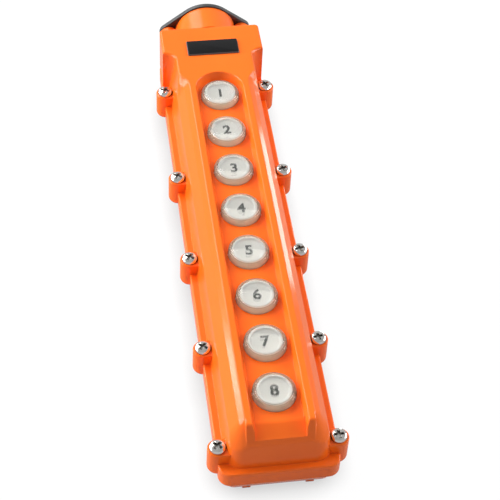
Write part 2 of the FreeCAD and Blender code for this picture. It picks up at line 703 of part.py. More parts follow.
def make_rear_housing():
    """Tray that closes the back, with lugs, feet, bosses and the gasket's groove."""
    body = new_piece("rear_housing")
    lugs = new_sketch(body, "lugs", "XY_Plane", "parting_height")
    add_lugs(lugs)
    pad(body, lugs, "lug_drop", forward=False)
    round_edges(body, "lug_edges", "lug_round", lambda edge: lies_at_height(edge, "parting_height - lug_drop"))
    rim = new_sketch(body, "rim", "XY_Plane", "parting_height")
    add_rounded(rim, "flange_half", "0", "case_length", "flange_corner")
    pad(body, rim, "rim_depth", forward=False)
    tray = new_sketch(body, "tray", "XY_Plane", RIM_BOTTOM)
    add_rounded(tray, "flange_half - tray_inset", "tray_inset", "(case_length - tray_inset)", "tray_corner")
    pad(body, tray, f"{RIM_BOTTOM} - foot_height", forward=False, taper="-tray_slope")
    round_edges(body, "tray_edge", "tray_edge_round", lambda edge: lies_at_height(edge, "foot_height"))
    neck = new_sketch(body, "neck", "XZ_Plane", "case_length")
    straight = "(neck_radius - neck_corner)"
    bend = "(neck_bottom_height + neck_corner)"
    add_outline(
        neck,
        [
            (f"-{straight}", "neck_bottom_height"),
            (straight, "neck_bottom_height", straight, bend, 1),
            ("neck_radius", bend),
            ("neck_radius", "parting_height"),
            ("-neck_radius", "parting_height"),
            ("-neck_radius", bend, f"-{straight}", bend, 1),
        ],
    )
    pad(body, neck, "neck_length")
    feet = new_sketch(body, "feet", "XY_Plane", "foot_height")
    for side in ("", "-"):
        for near_edge in ("foot_end_gap", "(case_length - foot_end_gap - foot_length)"):
            left = f"({side}foot_half_spacing - foot_width / 2)"
            right = f"({side}foot_half_spacing + foot_width / 2)"
            add_rectangle(feet, left, right, near_edge, f"{near_edge} + foot_length")
    pad(body, feet, "foot_height", forward=False)
    upper = new_sketch(body, "upper_cavity", "XY_Plane", "parting_height")
    add_rounded(upper, CAVITY_HALF, "rim_width", "(case_length - rim_width)", "cavity_corner")
    pocket(body, upper, "rim_depth", forward=False)
    lower = new_sketch(body, "lower_cavity", "XY_Plane", RIM_BOTTOM)
    add_rounded(lower, CAVITY_HALF, "rim_width", "(case_length - rim_width)", "cavity_corner")
    pocket(body, lower, f"{RIM_BOTTOM} - {TRAY_INSIDE}", forward=False, taper="-tray_slope")
    pad_circles(body, "bosses", CHASSIS_SCREWS, "chassis_boss_radius", TRAY_INSIDE, CHASSIS_BOTTOM)
    pocket_circles(body, "pilots", CHASSIS_SCREWS, "chassis_screw_radius + screw_pilot_gap", CHASSIS_BOTTOM,
                   "chassis_boss_height + tray_floor / 2")
    groove = new_sketch(body, "groove", "XY_Plane", "parting_height")
    for inset in ("gasket_inset", "(gasket_inset + gasket_width)"):
        add_rounded(groove, f"(flange_half - {inset})", inset, f"(case_length - {inset})", "cavity_corner")
    pocket(body, groove, "gasket_depth", forward=False)
    pocket_circles(body, "lug_pilots", COVER_SCREWS, "screw_shank_radius + screw_pilot_gap", "parting_height",
                   "screw_reach + screw_pilot_gap")
    return body


def make_housing_gasket():
    """Rubber ring in the tray's groove, flush with the parting plane."""
    body = new_piece("housing_gasket")
    drawing = new_sketch(body, "ring", "XY_Plane", "parting_height")
    for inset in ("(gasket_inset + gasket_gap)", "(gasket_inset + gasket_width - gasket_gap)"):
        add_rounded(drawing, f"(flange_half - {inset})", inset, f"(case_length - {inset})", "cavity_corner")
    pad(body, drawing, "gasket_depth", forward=False)


def make_cover_screws():
    """Ten pan-head screws through the lugs."""
    body = new_piece("cover_screws")
    bottom = "(parting_height - screw_reach)"
    pad_circles(body, "shanks", COVER_SCREWS, "screw_shank_radius", bottom, "lug_top")
    top = "(lug_top + screw_head_height)"
    pad_circles(body, "heads", COVER_SCREWS, "screw_head_radius", "lug_top", top)
    round_edges(body, "domes", "screw_head_round", lambda edge: lies_at_height(edge, top))


def make_nameplate():
    """Bare plate on the face of the head."""
    body = new_piece("nameplate", "(case_length - nameplate_top_gap)")
    drawing = new_sketch(body, "outline", "XY_Plane", "face_height")
    half_length = "(nameplate_length / 2)"
    add_rounded(drawing, "(nameplate_width / 2)", f"-{half_length}", half_length, "nameplate_corner")
    pad(body, drawing, "nameplate_thick")


def make_cable_clamp_plate():
    """Two-eared plate across the neck: a round middle and round ears joined by tangents."""
    body = new_piece("cable_clamp_plate")
    drawing = new_sketch(body, "outline", "XZ_Plane", NECK_END)
    lean = "((plate_radius - ear_radius) / clamp_screw_half)"
    rise = f"sqrt(1 - {lean} * {lean})"
    middle = "neck_axis_height"
    ear_x = f"(clamp_screw_half + ear_radius * {lean})"
    arc_x = f"(plate_radius * {lean})"
    ear_up = f"({middle} + ear_radius * {rise})"
    ear_down = f"({middle} - ear_radius * {rise})"
    arc_up = f"({middle} + plate_radius * {rise})"
    arc_down = f"({middle} - plate_radius * {rise})"
    add_outline(
        drawing,
        [
            (ear_x, ear_down, "clamp_screw_half", middle, 1),
            (ear_x, ear_up),
            (arc_x, arc_up, "0", middle, 1),
            (f"-{arc_x}", arc_up),
            (f"-{ear_x}", ear_up, "-clamp_screw_half", middle, 1),
            (f"-{ear_x}", ear_down),
            (f"-{arc_x}", arc_down, "0", middle, 1),
            (arc_x, arc_down),
        ],
    )
    add_circle(drawing, "0", middle, "bush_nose_radius + bush_gap")
    for x, z in CLAMP_SCREWS:
        add_circle(drawing, x, z, "screw_hole_radius")
    pad(body, drawing, "plate_thick")


def make_clamp_plate_screws():
    """Two pan-head screws through the ears of the clamp plate."""
    body = new_piece("clamp_plate_screws")
    shanks = new_sketch(body, "shanks", "XZ_Plane", f"({NECK_END} - clamp_screw_reach)")
    heads = new_sketch(body, "heads", "XZ_Plane", PLATE_END)
    for x, z in CLAMP_SCREWS:
        add_circle(shanks, x, z, "screw_shank_radius")
        add_circle(heads, x, z, "screw_head_radius")
    pad(body, shanks, "clamp_screw_reach + plate_thick")
    pad(body, heads, "screw_head_height")
    round_edges(body, "domes", "screw_head_round", lambda edge: lies_at_row(edge, OVERALL))


def make_cable_bush():
    """Rubber bush in the neck, with a nose through the clamp plate."""
    body = new_piece("cable_bush")
    seat = new_sketch(body, "seat", "XZ_Plane", f"({NECK_END} - bush_length)")
    nose = new_sketch(body, "nose", "XZ_Plane", NECK_END)
    for drawing, radius in ((seat, "bush_radius"), (nose, "bush_nose_radius")):
        add_circle(drawing, "0", "neck_axis_height", radius)
        add_circle(drawing, "0", "neck_axis_height", "cable_radius")
    pad(body, seat, "bush_length")
    pad(body, nose, "plate_thick + bush_nose_stand")


def make_button_seals():
    """Rubber washers under the channel's floor, one round each button."""
    body = new_piece("button_seals")
    drawing = new_sketch(body, "rings", "XY_Plane", COLLAR_TOP)
    for row in BUTTON_ROWS:
        add_circle(drawing, "0", row, "seal_radius")
        add_circle(drawing, "0", row, SEAL_INNER)
    pad(body, drawing, "seal_thick")


def make_switch_chassis():
    """Steel strip on the tray's bosses, with holes for its screws and for the blocks' pegs."""
    body = new_piece("switch_chassis")
    drawing = new_sketch(body, "strip", "XY_Plane", CHASSIS_BOTTOM)
    margin = "(block_length / 2 + chassis_end_gap)"
    add_rectangle(drawing, "-chassis_half", "chassis_half", f"last_button - {margin}", f"{TOP_BUTTON} + {margin}")
    for x, y in CHASSIS_SCREWS:
        add_circle(drawing, x, y, "chassis_screw_radius + chassis_hole_gap")
    for row in BUTTON_ROWS:
        for sign in ("+", "-"):
            add_circle(drawing, "0", f"{row} {sign} peg_half_spacing", "peg_radius + peg_gap")
    pad(body, drawing, "chassis_thick")


def make_chassis_screws():
    """Screws of the steel strip."""
    body = new_piece("chassis_screws")
    pad_circles(body, "shanks", CHASSIS_SCREWS, "chassis_screw_radius", TRAY_INSIDE, CHASSIS_TOP)
    top = f"({CHASSIS_TOP} + chassis_head_height)"
    pad_circles(body, "heads", CHASSIS_SCREWS, "chassis_head_radius", CHASSIS_TOP, top)


def make_fixed_contacts():
    """Contact strips on the blocks' ledges, each with a rivet under the bridge."""
    body = new_piece("fixed_contacts")
    drawing = new_sketch(body, "strips", "XY_Plane", LEDGE_TOP)
    for row in BUTTON_ROWS:
        low = f"({row} - strip_width / 2)"
        high = f"({row} + strip_width / 2)"
        add_rectangle(drawing, "strip_inner", "strip_outer", low, high)
        add_rectangle(drawing, "-strip_outer", "-strip_inner", low, high)
    for x, y in TERMINALS:
        add_circle(drawing, x, y, "terminal_shank_radius + terminal_fit")
    pad(body, drawing, "strip_thick")
    pad_circles(body, "rivets", FIXED_CONTACTS, "contact_radius", STRIP_TOP, FIXED_CONTACT_TOP)


def make_terminal_screws():
    """Terminal screws through the contact strips into the blocks."""
    body = new_piece("terminal_screws")
    bottom = f"({LEDGE_TOP} - terminal_reach)"
    pad_circles(body, "shanks", TERMINALS, "terminal_shank_radius", bottom, STRIP_TOP)
    pad_circles(body, "heads", TERMINALS, "terminal_radius", STRIP_TOP, f"({STRIP_TOP} + terminal_height)")


def make_switch_block(label, row):
    """Moulded block: base, two end walls, a guide plate and two ledges for the contacts."""
    body = new_piece(f"switch_block_{label}", row)
    half = "(block_length / 2)"
    base = new_sketch(body, "base", "XY_Plane", CHASSIS_TOP)
    add_rectangle(base, "-block_half", "block_half", f"-{half}", half)
    pad(body, base, "block_base")
    walls = new_sketch(body, "walls", "XY_Plane", BLOCK_FLOOR)
    add_rectangle(walls, "-block_half", "block_half", f"{half} - block_wall", half)
    add_rectangle(walls, "-block_half", "block_half", f"-{half}", f"block_wall - {half}")
    pad(body, walls, f"{GUIDE_BOTTOM} - {BLOCK_FLOOR}")
    guide = new_sketch(body, "guide", "XY_Plane", GUIDE_BOTTOM)
    add_rectangle(guide, "-block_half", "block_half", f"-{half}", half)
    add_circle(guide, "0", "0", "stem_radius + guide_gap")
    pad(body, guide, "block_top")
    ledges = new_sketch(body, "ledges", "XY_Plane", BLOCK_FLOOR)
    add_rectangle(ledges, "strip_inner", "strip_outer", "-ledge_width / 2", "ledge_width / 2")
    add_rectangle(ledges, "-strip_outer", "-strip_inner", "-ledge_width / 2", "ledge_width / 2")
    pad(body, ledges, f"{LEDGE_TOP} - {BLOCK_FLOOR}")
    terminals = [("terminal_half", "0"), ("-terminal_half", "0")]
    pocket_circles(body, "screw_holes", terminals, "terminal_shank_radius + terminal_fit", LEDGE_TOP,
                   "terminal_reach")
    pegs = [("0", "peg_half_spacing"), ("0", "-peg_half_spacing")]
    pad_circles(body, "pegs", pegs, "peg_radius", CHASSIS_BOTTOM, CHASSIS_TOP)


def make_button_body(label, row):
    """White button: dished drum, collar and stepped stem."""
    body = new_piece(f"button_body_{label}", row)
    rim = "(drum_radius - dish_rim)"
    tail_end = f"({BLOCK_FLOOR} + button_travel + tail_gap)"
    dish = f"({DRUM_TOP} - dish_depth)"
    revolve(
        body,
        [
            ("0", tail_end),
            ("tail_radius", tail_end),
            ("tail_radius", BRIDGE_TOP),
            ("stem_radius", BRIDGE_TOP),
            ("stem_radius", COLLAR_BOTTOM),
            ("collar_radius", COLLAR_BOTTOM),
            ("collar_radius", COLLAR_TOP),
            ("drum_radius", COLLAR_TOP),
            ("drum_radius", DRUM_TOP),
            (rim, DRUM_TOP),
            (f"{rim} - dish_depth", dish),
            ("0", dish),
        ],
    )


def make_button_cap(label, row):
    """Clear cap over the drum, with a wider skirt in the cover's hole."""
    body = new_piece(f"button_cap_{label}", row)
    inside = "(drum_radius + cap_fit)"
    skirt = f"({CHANNEL_FLOOR} + cap_skirt_stand)"
    revolve(
        body,
        [
            (inside, COLLAR_TOP),
            ("cap_radius", COLLAR_TOP),
            ("cap_radius", f"{skirt} - cap_bevel"),
            ("cap_neck_radius", skirt),
            ("cap_top_radius", f"{CAP_TOP} - cap_bevel"),
            ("cap_top_radius - cap_bevel", CAP_TOP),
            ("0", CAP_TOP),
            ("0", f"{CAP_TOP} - cap_thick"),
            (inside, f"{CAP_TOP} - cap_thick"),
        ],
    )


def make_contact_bridge(label, row):
    """Brass bridge under the stem's shoulder, with a rivet at each end."""
    body = new_piece(f"contact_bridge_{label}", row)
    strip = new_sketch(body, "strip", "XY_Plane", BRIDGE_BOTTOM)
    add_rectangle(strip, "-bridge_half", "bridge_half", "-bridge_width / 2", "bridge_width / 2")
    add_circle(strip, "0", "0", "tail_radius + bridge_fit")
    pad(body, strip, "bridge_thick")
    rivets = [(CONTACT_X, "0"), (f"-{CONTACT_X}", "0")]
    low = f"({BRIDGE_BOTTOM} - contact_height)"
    pad_circles(body, "rivets", rivets, "contact_radius", low, BRIDGE_BOTTOM)


def make_return_spring(label, row):
    """Spring round the stem's lower end, drawn as a sleeve with one bulge for each turn."""
    body = new_piece(f"return_spring_{label}", row)
    step = f"(({BRIDGE_BOTTOM} - {BLOCK_FLOOR}) / {SPRING_TURNS})"
    outer = "(spring_inner + spring_wire)"
    waist = "(spring_inner + spring_wire / 2)"
    corners = [("spring_inner", BLOCK_FLOOR)]
    for turn in range(SPRING_TURNS):
        corners.append((waist, f"{BLOCK_FLOOR} + {turn} * {step}"))
        corners.append((outer, f"{BLOCK_FLOOR} + {turn + 0.5} * {step}"))
    corners.append((waist, BRIDGE_BOTTOM))
    corners.append(("spring_inner", BRIDGE_BOTTOM))
    revolve(body, corners)


def check_pieces():
    """Stop if an object failed or a piece has no valid solid."""
    for item in doc.Objects:
        if {"Invalid", "Error"} & set(item.State):
            raise ValueError(f"{item.Label} failed")
    for piece in pieces:
        if piece.Shape.isNull() or not piece.Shape.isValid() or not piece.Shape.Solids:
            raise ValueError(f"{piece.Label} has no valid solid")


def main():
    """Build every piece, check it and write it to its own file."""
    fill_sheet()
    make_front_cover()
    make_rear_housing()
    make_housing_gasket()
    make_cover_screws()
    make_nameplate()
    make_cable_clamp_plate()
    make_clamp_plate_screws()
    make_cable_bush()
    make_button_seals()
    make_switch_chassis()
    make_chassis_screws()
    make_fixed_contacts()
    make_terminal_screws()
    for label, row in enumerate(BUTTON_ROWS, start=1):
        make_switch_block(label, row)
        make_button_body(label, row)
        make_button_cap(label, row)
        make_contact_bridge(label, row)
        make_return_spring(label, row)
    doc.recompute()
    check_pieces()
    os.makedirs("parts", exist_ok=True)
    for piece in pieces:
        piece.Shape.exportStep(os.path.join("parts", f"{piece.Label}.step"))


main()
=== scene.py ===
"""Dressed scene of an eight-button pendant switch: its finishes, its modelled pieces and the studio."""
import logging
import math
from dataclasses import dataclass
from enum import Enum

import bpy
from mathutils import Matrix, Vector


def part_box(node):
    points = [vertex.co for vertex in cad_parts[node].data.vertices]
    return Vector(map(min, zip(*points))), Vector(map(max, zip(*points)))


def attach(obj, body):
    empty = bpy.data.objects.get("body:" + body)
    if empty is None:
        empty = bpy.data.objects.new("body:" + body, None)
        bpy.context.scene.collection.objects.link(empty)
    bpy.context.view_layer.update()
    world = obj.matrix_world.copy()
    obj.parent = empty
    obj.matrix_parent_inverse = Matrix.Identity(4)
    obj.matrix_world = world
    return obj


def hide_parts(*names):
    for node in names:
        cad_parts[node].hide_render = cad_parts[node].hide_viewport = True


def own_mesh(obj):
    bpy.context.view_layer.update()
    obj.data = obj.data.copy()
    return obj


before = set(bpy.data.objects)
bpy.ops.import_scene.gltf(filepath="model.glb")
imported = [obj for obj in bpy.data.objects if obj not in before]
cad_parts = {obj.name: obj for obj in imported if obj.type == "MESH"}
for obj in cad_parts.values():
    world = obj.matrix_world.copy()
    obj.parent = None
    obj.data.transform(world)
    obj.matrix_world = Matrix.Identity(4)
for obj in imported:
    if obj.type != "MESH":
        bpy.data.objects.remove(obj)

Colour = tuple[float, float, float]
Place = tuple[float, float, float]
Profile = list[tuple[float, float]]
Span = tuple[float, float]
Socket = bpy.types.NodeSocket

MM = 0.001
HOUSING = "housing"
BUTTON_COUNT = 8
SMOOTH_ANGLE = math.radians(40)      # edges sharper than this stay sharp in the shading
MERGE_REACH = 0.002 * MM             # corners closer than this become one
MIDDLE: Place = (0.0, 0.0, 0.03)     # spot in the case that the large lamps look at
UNIT: Span = (0.0, 1.0)
WHITE = (1.0, 1.0, 1.0, 1.0)

log = logging.getLogger("pendant_switch")


class Relief(Enum):
    """How the blotches of a pattern are stretched along X, Y and Z."""

    EVEN = (1.0, 1.0, 1.0)
    ALONG_CASE = (1.0, 0.12, 1.0)
    ACROSS_CASE = (0.1, 1.0, 1.0)


class Detail(Enum):
    """How many finer layers a pattern has."""

    SMOOTH = 1.0
    FINE = 2.0
    FLOWING = 3.0
    CLOUDY = 4.0
    DUSTY = 5.0


class Ray(Enum):
    """Kinds of rays that the floor and the sky tell apart."""

    CAMERA = "Is Camera Ray"
    GLOSS = "Is Glossy Ray"
    CLEAR = "Is Transmission Ray"
    BOUNCE = "Is Diffuse Ray"


class Shine(Enum):
    """What a lamp's light shows on."""

    ALL = "all"
    GLOSS = "gloss"
    MATT = "matt"


class Facing(Enum):
    """Axis that the flat faces of a plate or a cap look along."""

    ALONG_CASE = 1
    UP = 2


class Edges(Enum):
    """Edges of a plate that a bevel takes."""

    UPRIGHT = "upright"
    TOP = "top"


def map_range(tree: bpy.types.NodeTree, value: Socket, span: Span, result: Span) -> Socket:
    """Map a value from one range to another and hold it there.

    Args:
        tree: node tree that gets the node.
        value: the value to map.
        span: where the first range begins and ends.
        result: what the value becomes at the two ends.

    Returns:
        The mapped value.
    """
    node = tree.nodes.new("ShaderNodeMapRange")
    node.inputs["From Min"].default_value, node.inputs["From Max"].default_value = span
    node.inputs["To Min"].default_value, node.inputs["To Max"].default_value = result
    tree.links.new(value, node.inputs["Value"])
    return node.outputs["Result"]


class Sheet:
    """Node tree of one material: a Principled shader and the pattern nodes that the finishes share."""

    edge_samples: int = 6
    crevice_samples: int = 8
    crevice_span: Span = (0.85, 0.35)
    # Places of the Mix node's colour sockets, whose names it has several times.
    mix_share: int = 0
    mix_first: int = 6
    mix_second: int = 7
    mix_colour: int = 2

    def __init__(self, name: str) -> None:
        """Make the material with its shader and Object coordinates.

        Args:
            name: of the material.
        """
        self.material = bpy.data.materials.new(name)
        self.material.use_nodes = True
        self.tree = self.material.node_tree
        self.tree.nodes.clear()
        output = self.tree.nodes.new("ShaderNodeOutputMaterial")
        self.shader = self.tree.nodes.new("ShaderNodeBsdfPrincipled")
        self.link(self.shader.outputs["BSDF"], output.inputs["Surface"])
        self.coordinates = self.tree.nodes.new("ShaderNodeTexCoord").outputs["Object"]
        self.normal: Socket | None = None

    def link(self, source: Socket, target: Socket) -> None:
        """Join two sockets."""
        self.tree.links.new(source, target)

    def plain(self, **values: float | Colour) -> None:
        """Set sockets of the shader, named in words joined by underscores, to values that hold all over.

        Args:
            values: socket names, such as Transmission_Weight, and their values.
        """
        for words, value in values.items():
            socket = self.shader.inputs[words.replace("_", " ")]
            socket.default_value = (*value, 1.0) if isinstance(value, tuple) else value

    def noise(self, size: float, detail: Detail = Detail.FINE, relief: Relief = Relief.EVEN) -> Socket:
        """Add a noise pattern.

        Args:
            size: about how far apart its blotches are, in metres.
            detail: how many finer layers it has.
            relief: how the blotches are stretched.

        Returns:
            The pattern's value, mostly between 0.3 and 0.7.
        """
        mapping = self.tree.nodes.new("ShaderNodeMapping")
        mapping.inputs["Scale"].default_value = [part / size for part in relief.value]
        self.link(self.coordinates, mapping.inputs["Vector"])
        pattern = self.tree.nodes.new("ShaderNodeTexNoise")
        pattern.inputs["Scale"].default_value = 1.0
        pattern.inputs["Detail"].default_value = detail.value
        self.link(mapping.outputs["Vector"], pattern.inputs["Vector"])
        return pattern.outputs["Fac"]

    def spread(self, value: Socket, span: Span, result: Span = UNIT) -> Socket:
        """Map a value from one range to another, in this material."""
        return map_range(self.tree, value, span, result)

    def blend(self, share: Socket, first: Colour | Socket, second: Colour) -> Socket:
        """Mix two colours.

        Args:
            share: how much of the second colour there is.
            first: colour where the share is 0, or a socket that carries one.
            second: colour where the share is 1.

        Returns:
            The mixed colour.
        """
        node = self.tree.nodes.new("ShaderNodeMix")
        node.data_type = "RGBA"
        if isinstance(first, tuple):
            node.inputs[self.mix_first].default_value = (*first, 1.0)
        else:
            self.link(first, node.inputs[self.mix_first])
        node.inputs[self.mix_second].default_value = (*second, 1.0)
        self.link(share, node.inputs[self.mix_share])
        return node.outputs[self.mix_colour]

    def turned_from(self, facing: Facing, span: Span) -> Socket:
        """Give 0 on faces that look along an axis and 1 on those that are turned away from it.

        Args:
            facing: the axis.
            span: cosines of the turns at which the value begins to rise and is 1.

        Returns:
            The value.
        """
        place = self.tree.nodes.new("ShaderNodeNewGeometry")
        parts = self.tree.nodes.new("ShaderNodeSeparateXYZ")
        self.link(place.outputs["Normal"], parts.inputs["Vector"])
        size = self.tree.nodes.new("ShaderNodeMath")
        size.operation = "ABSOLUTE"
        self.link(parts.outputs[facing.value], size.inputs[0])
        return self.spread(size.outputs["Value"], span)

    def soften_edges(self, radius: float) -> None:
        """Round the shading of sharp edges.

        Args:
            radius: of the rounding, in metres.
        """
        node = self.tree.nodes.new("ShaderNodeBevel")
        node.samples = self.edge_samples
        node.inputs["Radius"].default_value = radius
        self.normal = node.outputs["Normal"]

    def crevices(self, reach: float) -> Socket:
        """Give 0 in the open and 1 deep between close walls.

        Args:
            reach: how far off a wall still counts, in metres.

        Returns:
            The value.
        """
        node = self.tree.nodes.new("ShaderNodeAmbientOcclusion")
        node.samples = self.crevice_samples
        node.inputs["Distance"].default_value = reach
        return self.spread(node.outputs["AO"], self.crevice_span)

    def emboss(self, height: Socket, depth: float) -> None:
        """Raise the surface by a pattern, on top of what is embossed already.

        Args:
            height: the pattern.
            depth: height of the pattern at a value of 1, in metres.
        """
        node = self.tree.nodes.new("ShaderNodeBump")
        node.inputs["Distance"].default_value = depth
        self.link(height, node.inputs["Height"])
        if self.normal is not None:
            self.link(self.normal, node.inputs["Normal"])
        self.normal = node.outputs["Normal"]

    def finish(self, colour: Socket, roughness: Socket) -> bpy.types.Material:
        """Wire the patterns into the shader.

        Args:
            colour: of the surface.
            roughness: of the surface.

        Returns:
            The finished material.
        """
        self.link(colour, self.shader.inputs["Base Color"])
        self.link(roughness, self.shader.inputs["Roughness"])
        if self.normal is not None:
            self.link(self.normal, self.shader.inputs["Normal"])
        return self.material


@dataclass(frozen=True)
class MouldedPlastic:
    """Opaque moulded plastic: slow flow marks and fine specks in the pigment, a faint grain and light scuffs.

    In all finishes, a field that ends in span says between which values of a pattern a mark comes up.
    """

    name: str
    colour: Colour
    deep: Colour
    gloss: Span
    edge: float = 0.4 * MM
    shine: float = 0.35
    ior: float = 1.5
    flow: float = 28.0 * MM
    flow_span: Span = (0.35, 0.7)
    speck: float = 0.9 * MM
    speck_span: Span = (0.62, 0.8)
    speck_share: Span = (0.0, 0.5)
    scuff: float = 7.0 * MM
    scuff_span: Span = (0.35, 0.7)
    wave: float = 22.0 * MM
    wave_depth: float = 0.02 * MM
    grain: float = 0.6 * MM
    grain_depth: float = 0.0012 * MM

    def material(self) -> bpy.types.Material:
        """Make the material.

        Returns:
            The finished material.
        """
        sheet = Sheet(self.name)
        sheet.plain(IOR=self.ior, Specular_IOR_Level=self.shine)
        sheet.soften_edges(self.edge)
        flow = sheet.noise(self.flow, Detail.FLOWING, Relief.ALONG_CASE)
        pigment = sheet.blend(sheet.spread(flow, self.flow_span), self.colour, self.deep)
        specks = sheet.noise(self.speck, Detail.SMOOTH)
        colour = sheet.blend(sheet.spread(specks, self.speck_span, self.speck_share), pigment, self.deep)
        scuffs = sheet.noise(self.scuff, Detail.CLOUDY)
        sheet.emboss(sheet.noise(self.wave, Detail.SMOOTH), self.wave_depth)
        sheet.emboss(sheet.noise(self.grain, Detail.SMOOTH), self.grain_depth)
        return sheet.finish(colour, sheet.spread(scuffs, self.scuff_span, self.gloss))


@dataclass(frozen=True)
class ClearPlastic:
    """Clear moulded plastic with frosted sides, a trace of colour and a fine haze of fingers on its gloss."""

    name: str
    colour: Colour = (0.985, 0.98, 0.955)
    smeared: Colour = (0.96, 0.955, 0.93)
    side: Colour = (0.97, 0.98, 0.8)
    side_span: Span = (0.55, 0.25)
    frost: float = 0.72
    body: float = 0.62
    ior: float = 1.49
    smear: float = 6.0 * MM
    smear_span: Span = (0.3, 0.75)
    haze: Span = (0.015, 0.07)
    haze_span: Span = (0.4, 0.7)
    wave: float = 9.0 * MM
    wave_depth: float = 0.012 * MM

    def material(self) -> bpy.types.Material:
        """Make the material.

        Returns:
            The finished material.
        """
        sheet = Sheet(self.name)
        sheet.plain(IOR=self.ior, Alpha=self.body)
        sides = sheet.turned_from(Facing.UP, self.side_span)
        clearness = sheet.spread(sides, UNIT, (1.0, 1.0 - self.frost))
        sheet.link(clearness, sheet.shader.inputs["Transmission Weight"])
        smear = sheet.noise(self.smear, Detail.CLOUDY)
        clean = sheet.blend(sheet.spread(smear, self.smear_span), self.colour, self.smeared)
        tint = sheet.blend(sides, clean, self.side)
        sheet.emboss(sheet.noise(self.wave, Detail.SMOOTH), self.wave_depth)
        return sheet.finish(tint, sheet.spread(smear, self.haze_span, self.haze))


@dataclass(frozen=True)
class BareMetal:
    """Bare or plated metal: fine polishing lines, cloudy plating, duller patches and painted shade in the
    recesses.
    """

    name: str
    colour: Colour
    tarnish: Colour
    gloss: Span
    lines: Relief = Relief.EVEN
    line: float = 0.35 * MM
    line_span: Span = (0.35, 0.7)
    line_depth: float = 0.002 * MM
    cloud: float = 3.5 * MM
    cloud_span: Span = (0.4, 0.75)
    dirt: Colour = (0.035, 0.026, 0.02)
    dirt_reach: float = 1.8 * MM

    def material(self) -> bpy.types.Material:
        """Make the material.

        Returns:
            The finished material.
        """
        sheet = Sheet(self.name)
        sheet.plain(Metallic=1.0)
        clouds = sheet.noise(self.cloud, Detail.CLOUDY)
        clean = sheet.blend(sheet.spread(clouds, self.cloud_span), self.colour, self.tarnish)
        # painted shade: the colour darkens deep in recesses and between close walls, where shade falls
        colour = sheet.blend(sheet.crevices(self.dirt_reach), clean, self.dirt)
        strokes = sheet.noise(self.line, relief=self.lines)
        sheet.emboss(strokes, self.line_depth)
        return sheet.finish(colour, sheet.spread(strokes, self.line_span, self.gloss))


@dataclass(frozen=True)
class CoatedPlate:
    """Dark coated plate whose rims and bevels carry a paler tone, a painted highlight of the light they
    catch.
    """

    name: str
    colour: Colour
    worn: Colour
    gloss: Span
    facing: Facing
    shine: float = 0.5
    ior: float = 1.5
    worn_span: Span = (0.95, 0.6)
    mottle: float = 1.6 * MM
    mottle_lift: float = 2.2
    mottle_span: Span = (0.45, 0.8)
    mottle_share: Span = (0.0, 0.5)
    gloss_span: Span = (0.35, 0.7)
    grain: float = 0.5 * MM
    grain_depth: float = 0.004 * MM

    def material(self) -> bpy.types.Material:
        """Make the material.

        Returns:
            The finished material.
        """
        sheet = Sheet(self.name)
        sheet.plain(IOR=self.ior, Specular_IOR_Level=self.shine)
        mottle = sheet.noise(self.mottle, Detail.CLOUDY)
        paler = tuple(self.mottle_lift * part for part in self.colour)
        coat = sheet.blend(sheet.spread(mottle, self.mottle_span, self.mottle_share), self.colour, paler)
        # painted highlight: faces turned away from the facing axis, the rims and bevels, go paler
        colour = sheet.blend(sheet.turned_from(self.facing, self.worn_span), coat, self.worn)
        sheet.emboss(sheet.noise(self.grain), self.grain_depth)
        return sheet.finish(colour, sheet.spread(mottle, self.gloss_span, self.gloss))


@dataclass(frozen=True)
class Rubber:
    """Matt moulded rubber with a bloom of dust."""

    name: str
    colour: Colour = (0.018, 0.018, 0.019)
    bloom: Colour = (0.05, 0.048, 0.045)
    bloom_span: Span = (0.45, 0.75)
    dust: float = 4.0 * MM
    gloss: Span = (0.55, 0.8)
    gloss_span: Span = (0.3, 0.7)
    grain: float = 0.4 * MM
    grain_depth: float = 0.01 * MM

    def material(self) -> bpy.types.Material:
        """Make the material.

        Returns:
            The finished material.
        """
        sheet = Sheet(self.name)
        dust = sheet.noise(self.dust, Detail.DUSTY)
        colour = sheet.blend(sheet.spread(dust, self.bloom_span), self.colour, self.bloom)
        sheet.emboss(sheet.noise(self.grain), self.grain_depth)
        return sheet.finish(colour, sheet.spread(dust, self.gloss_span, self.gloss))


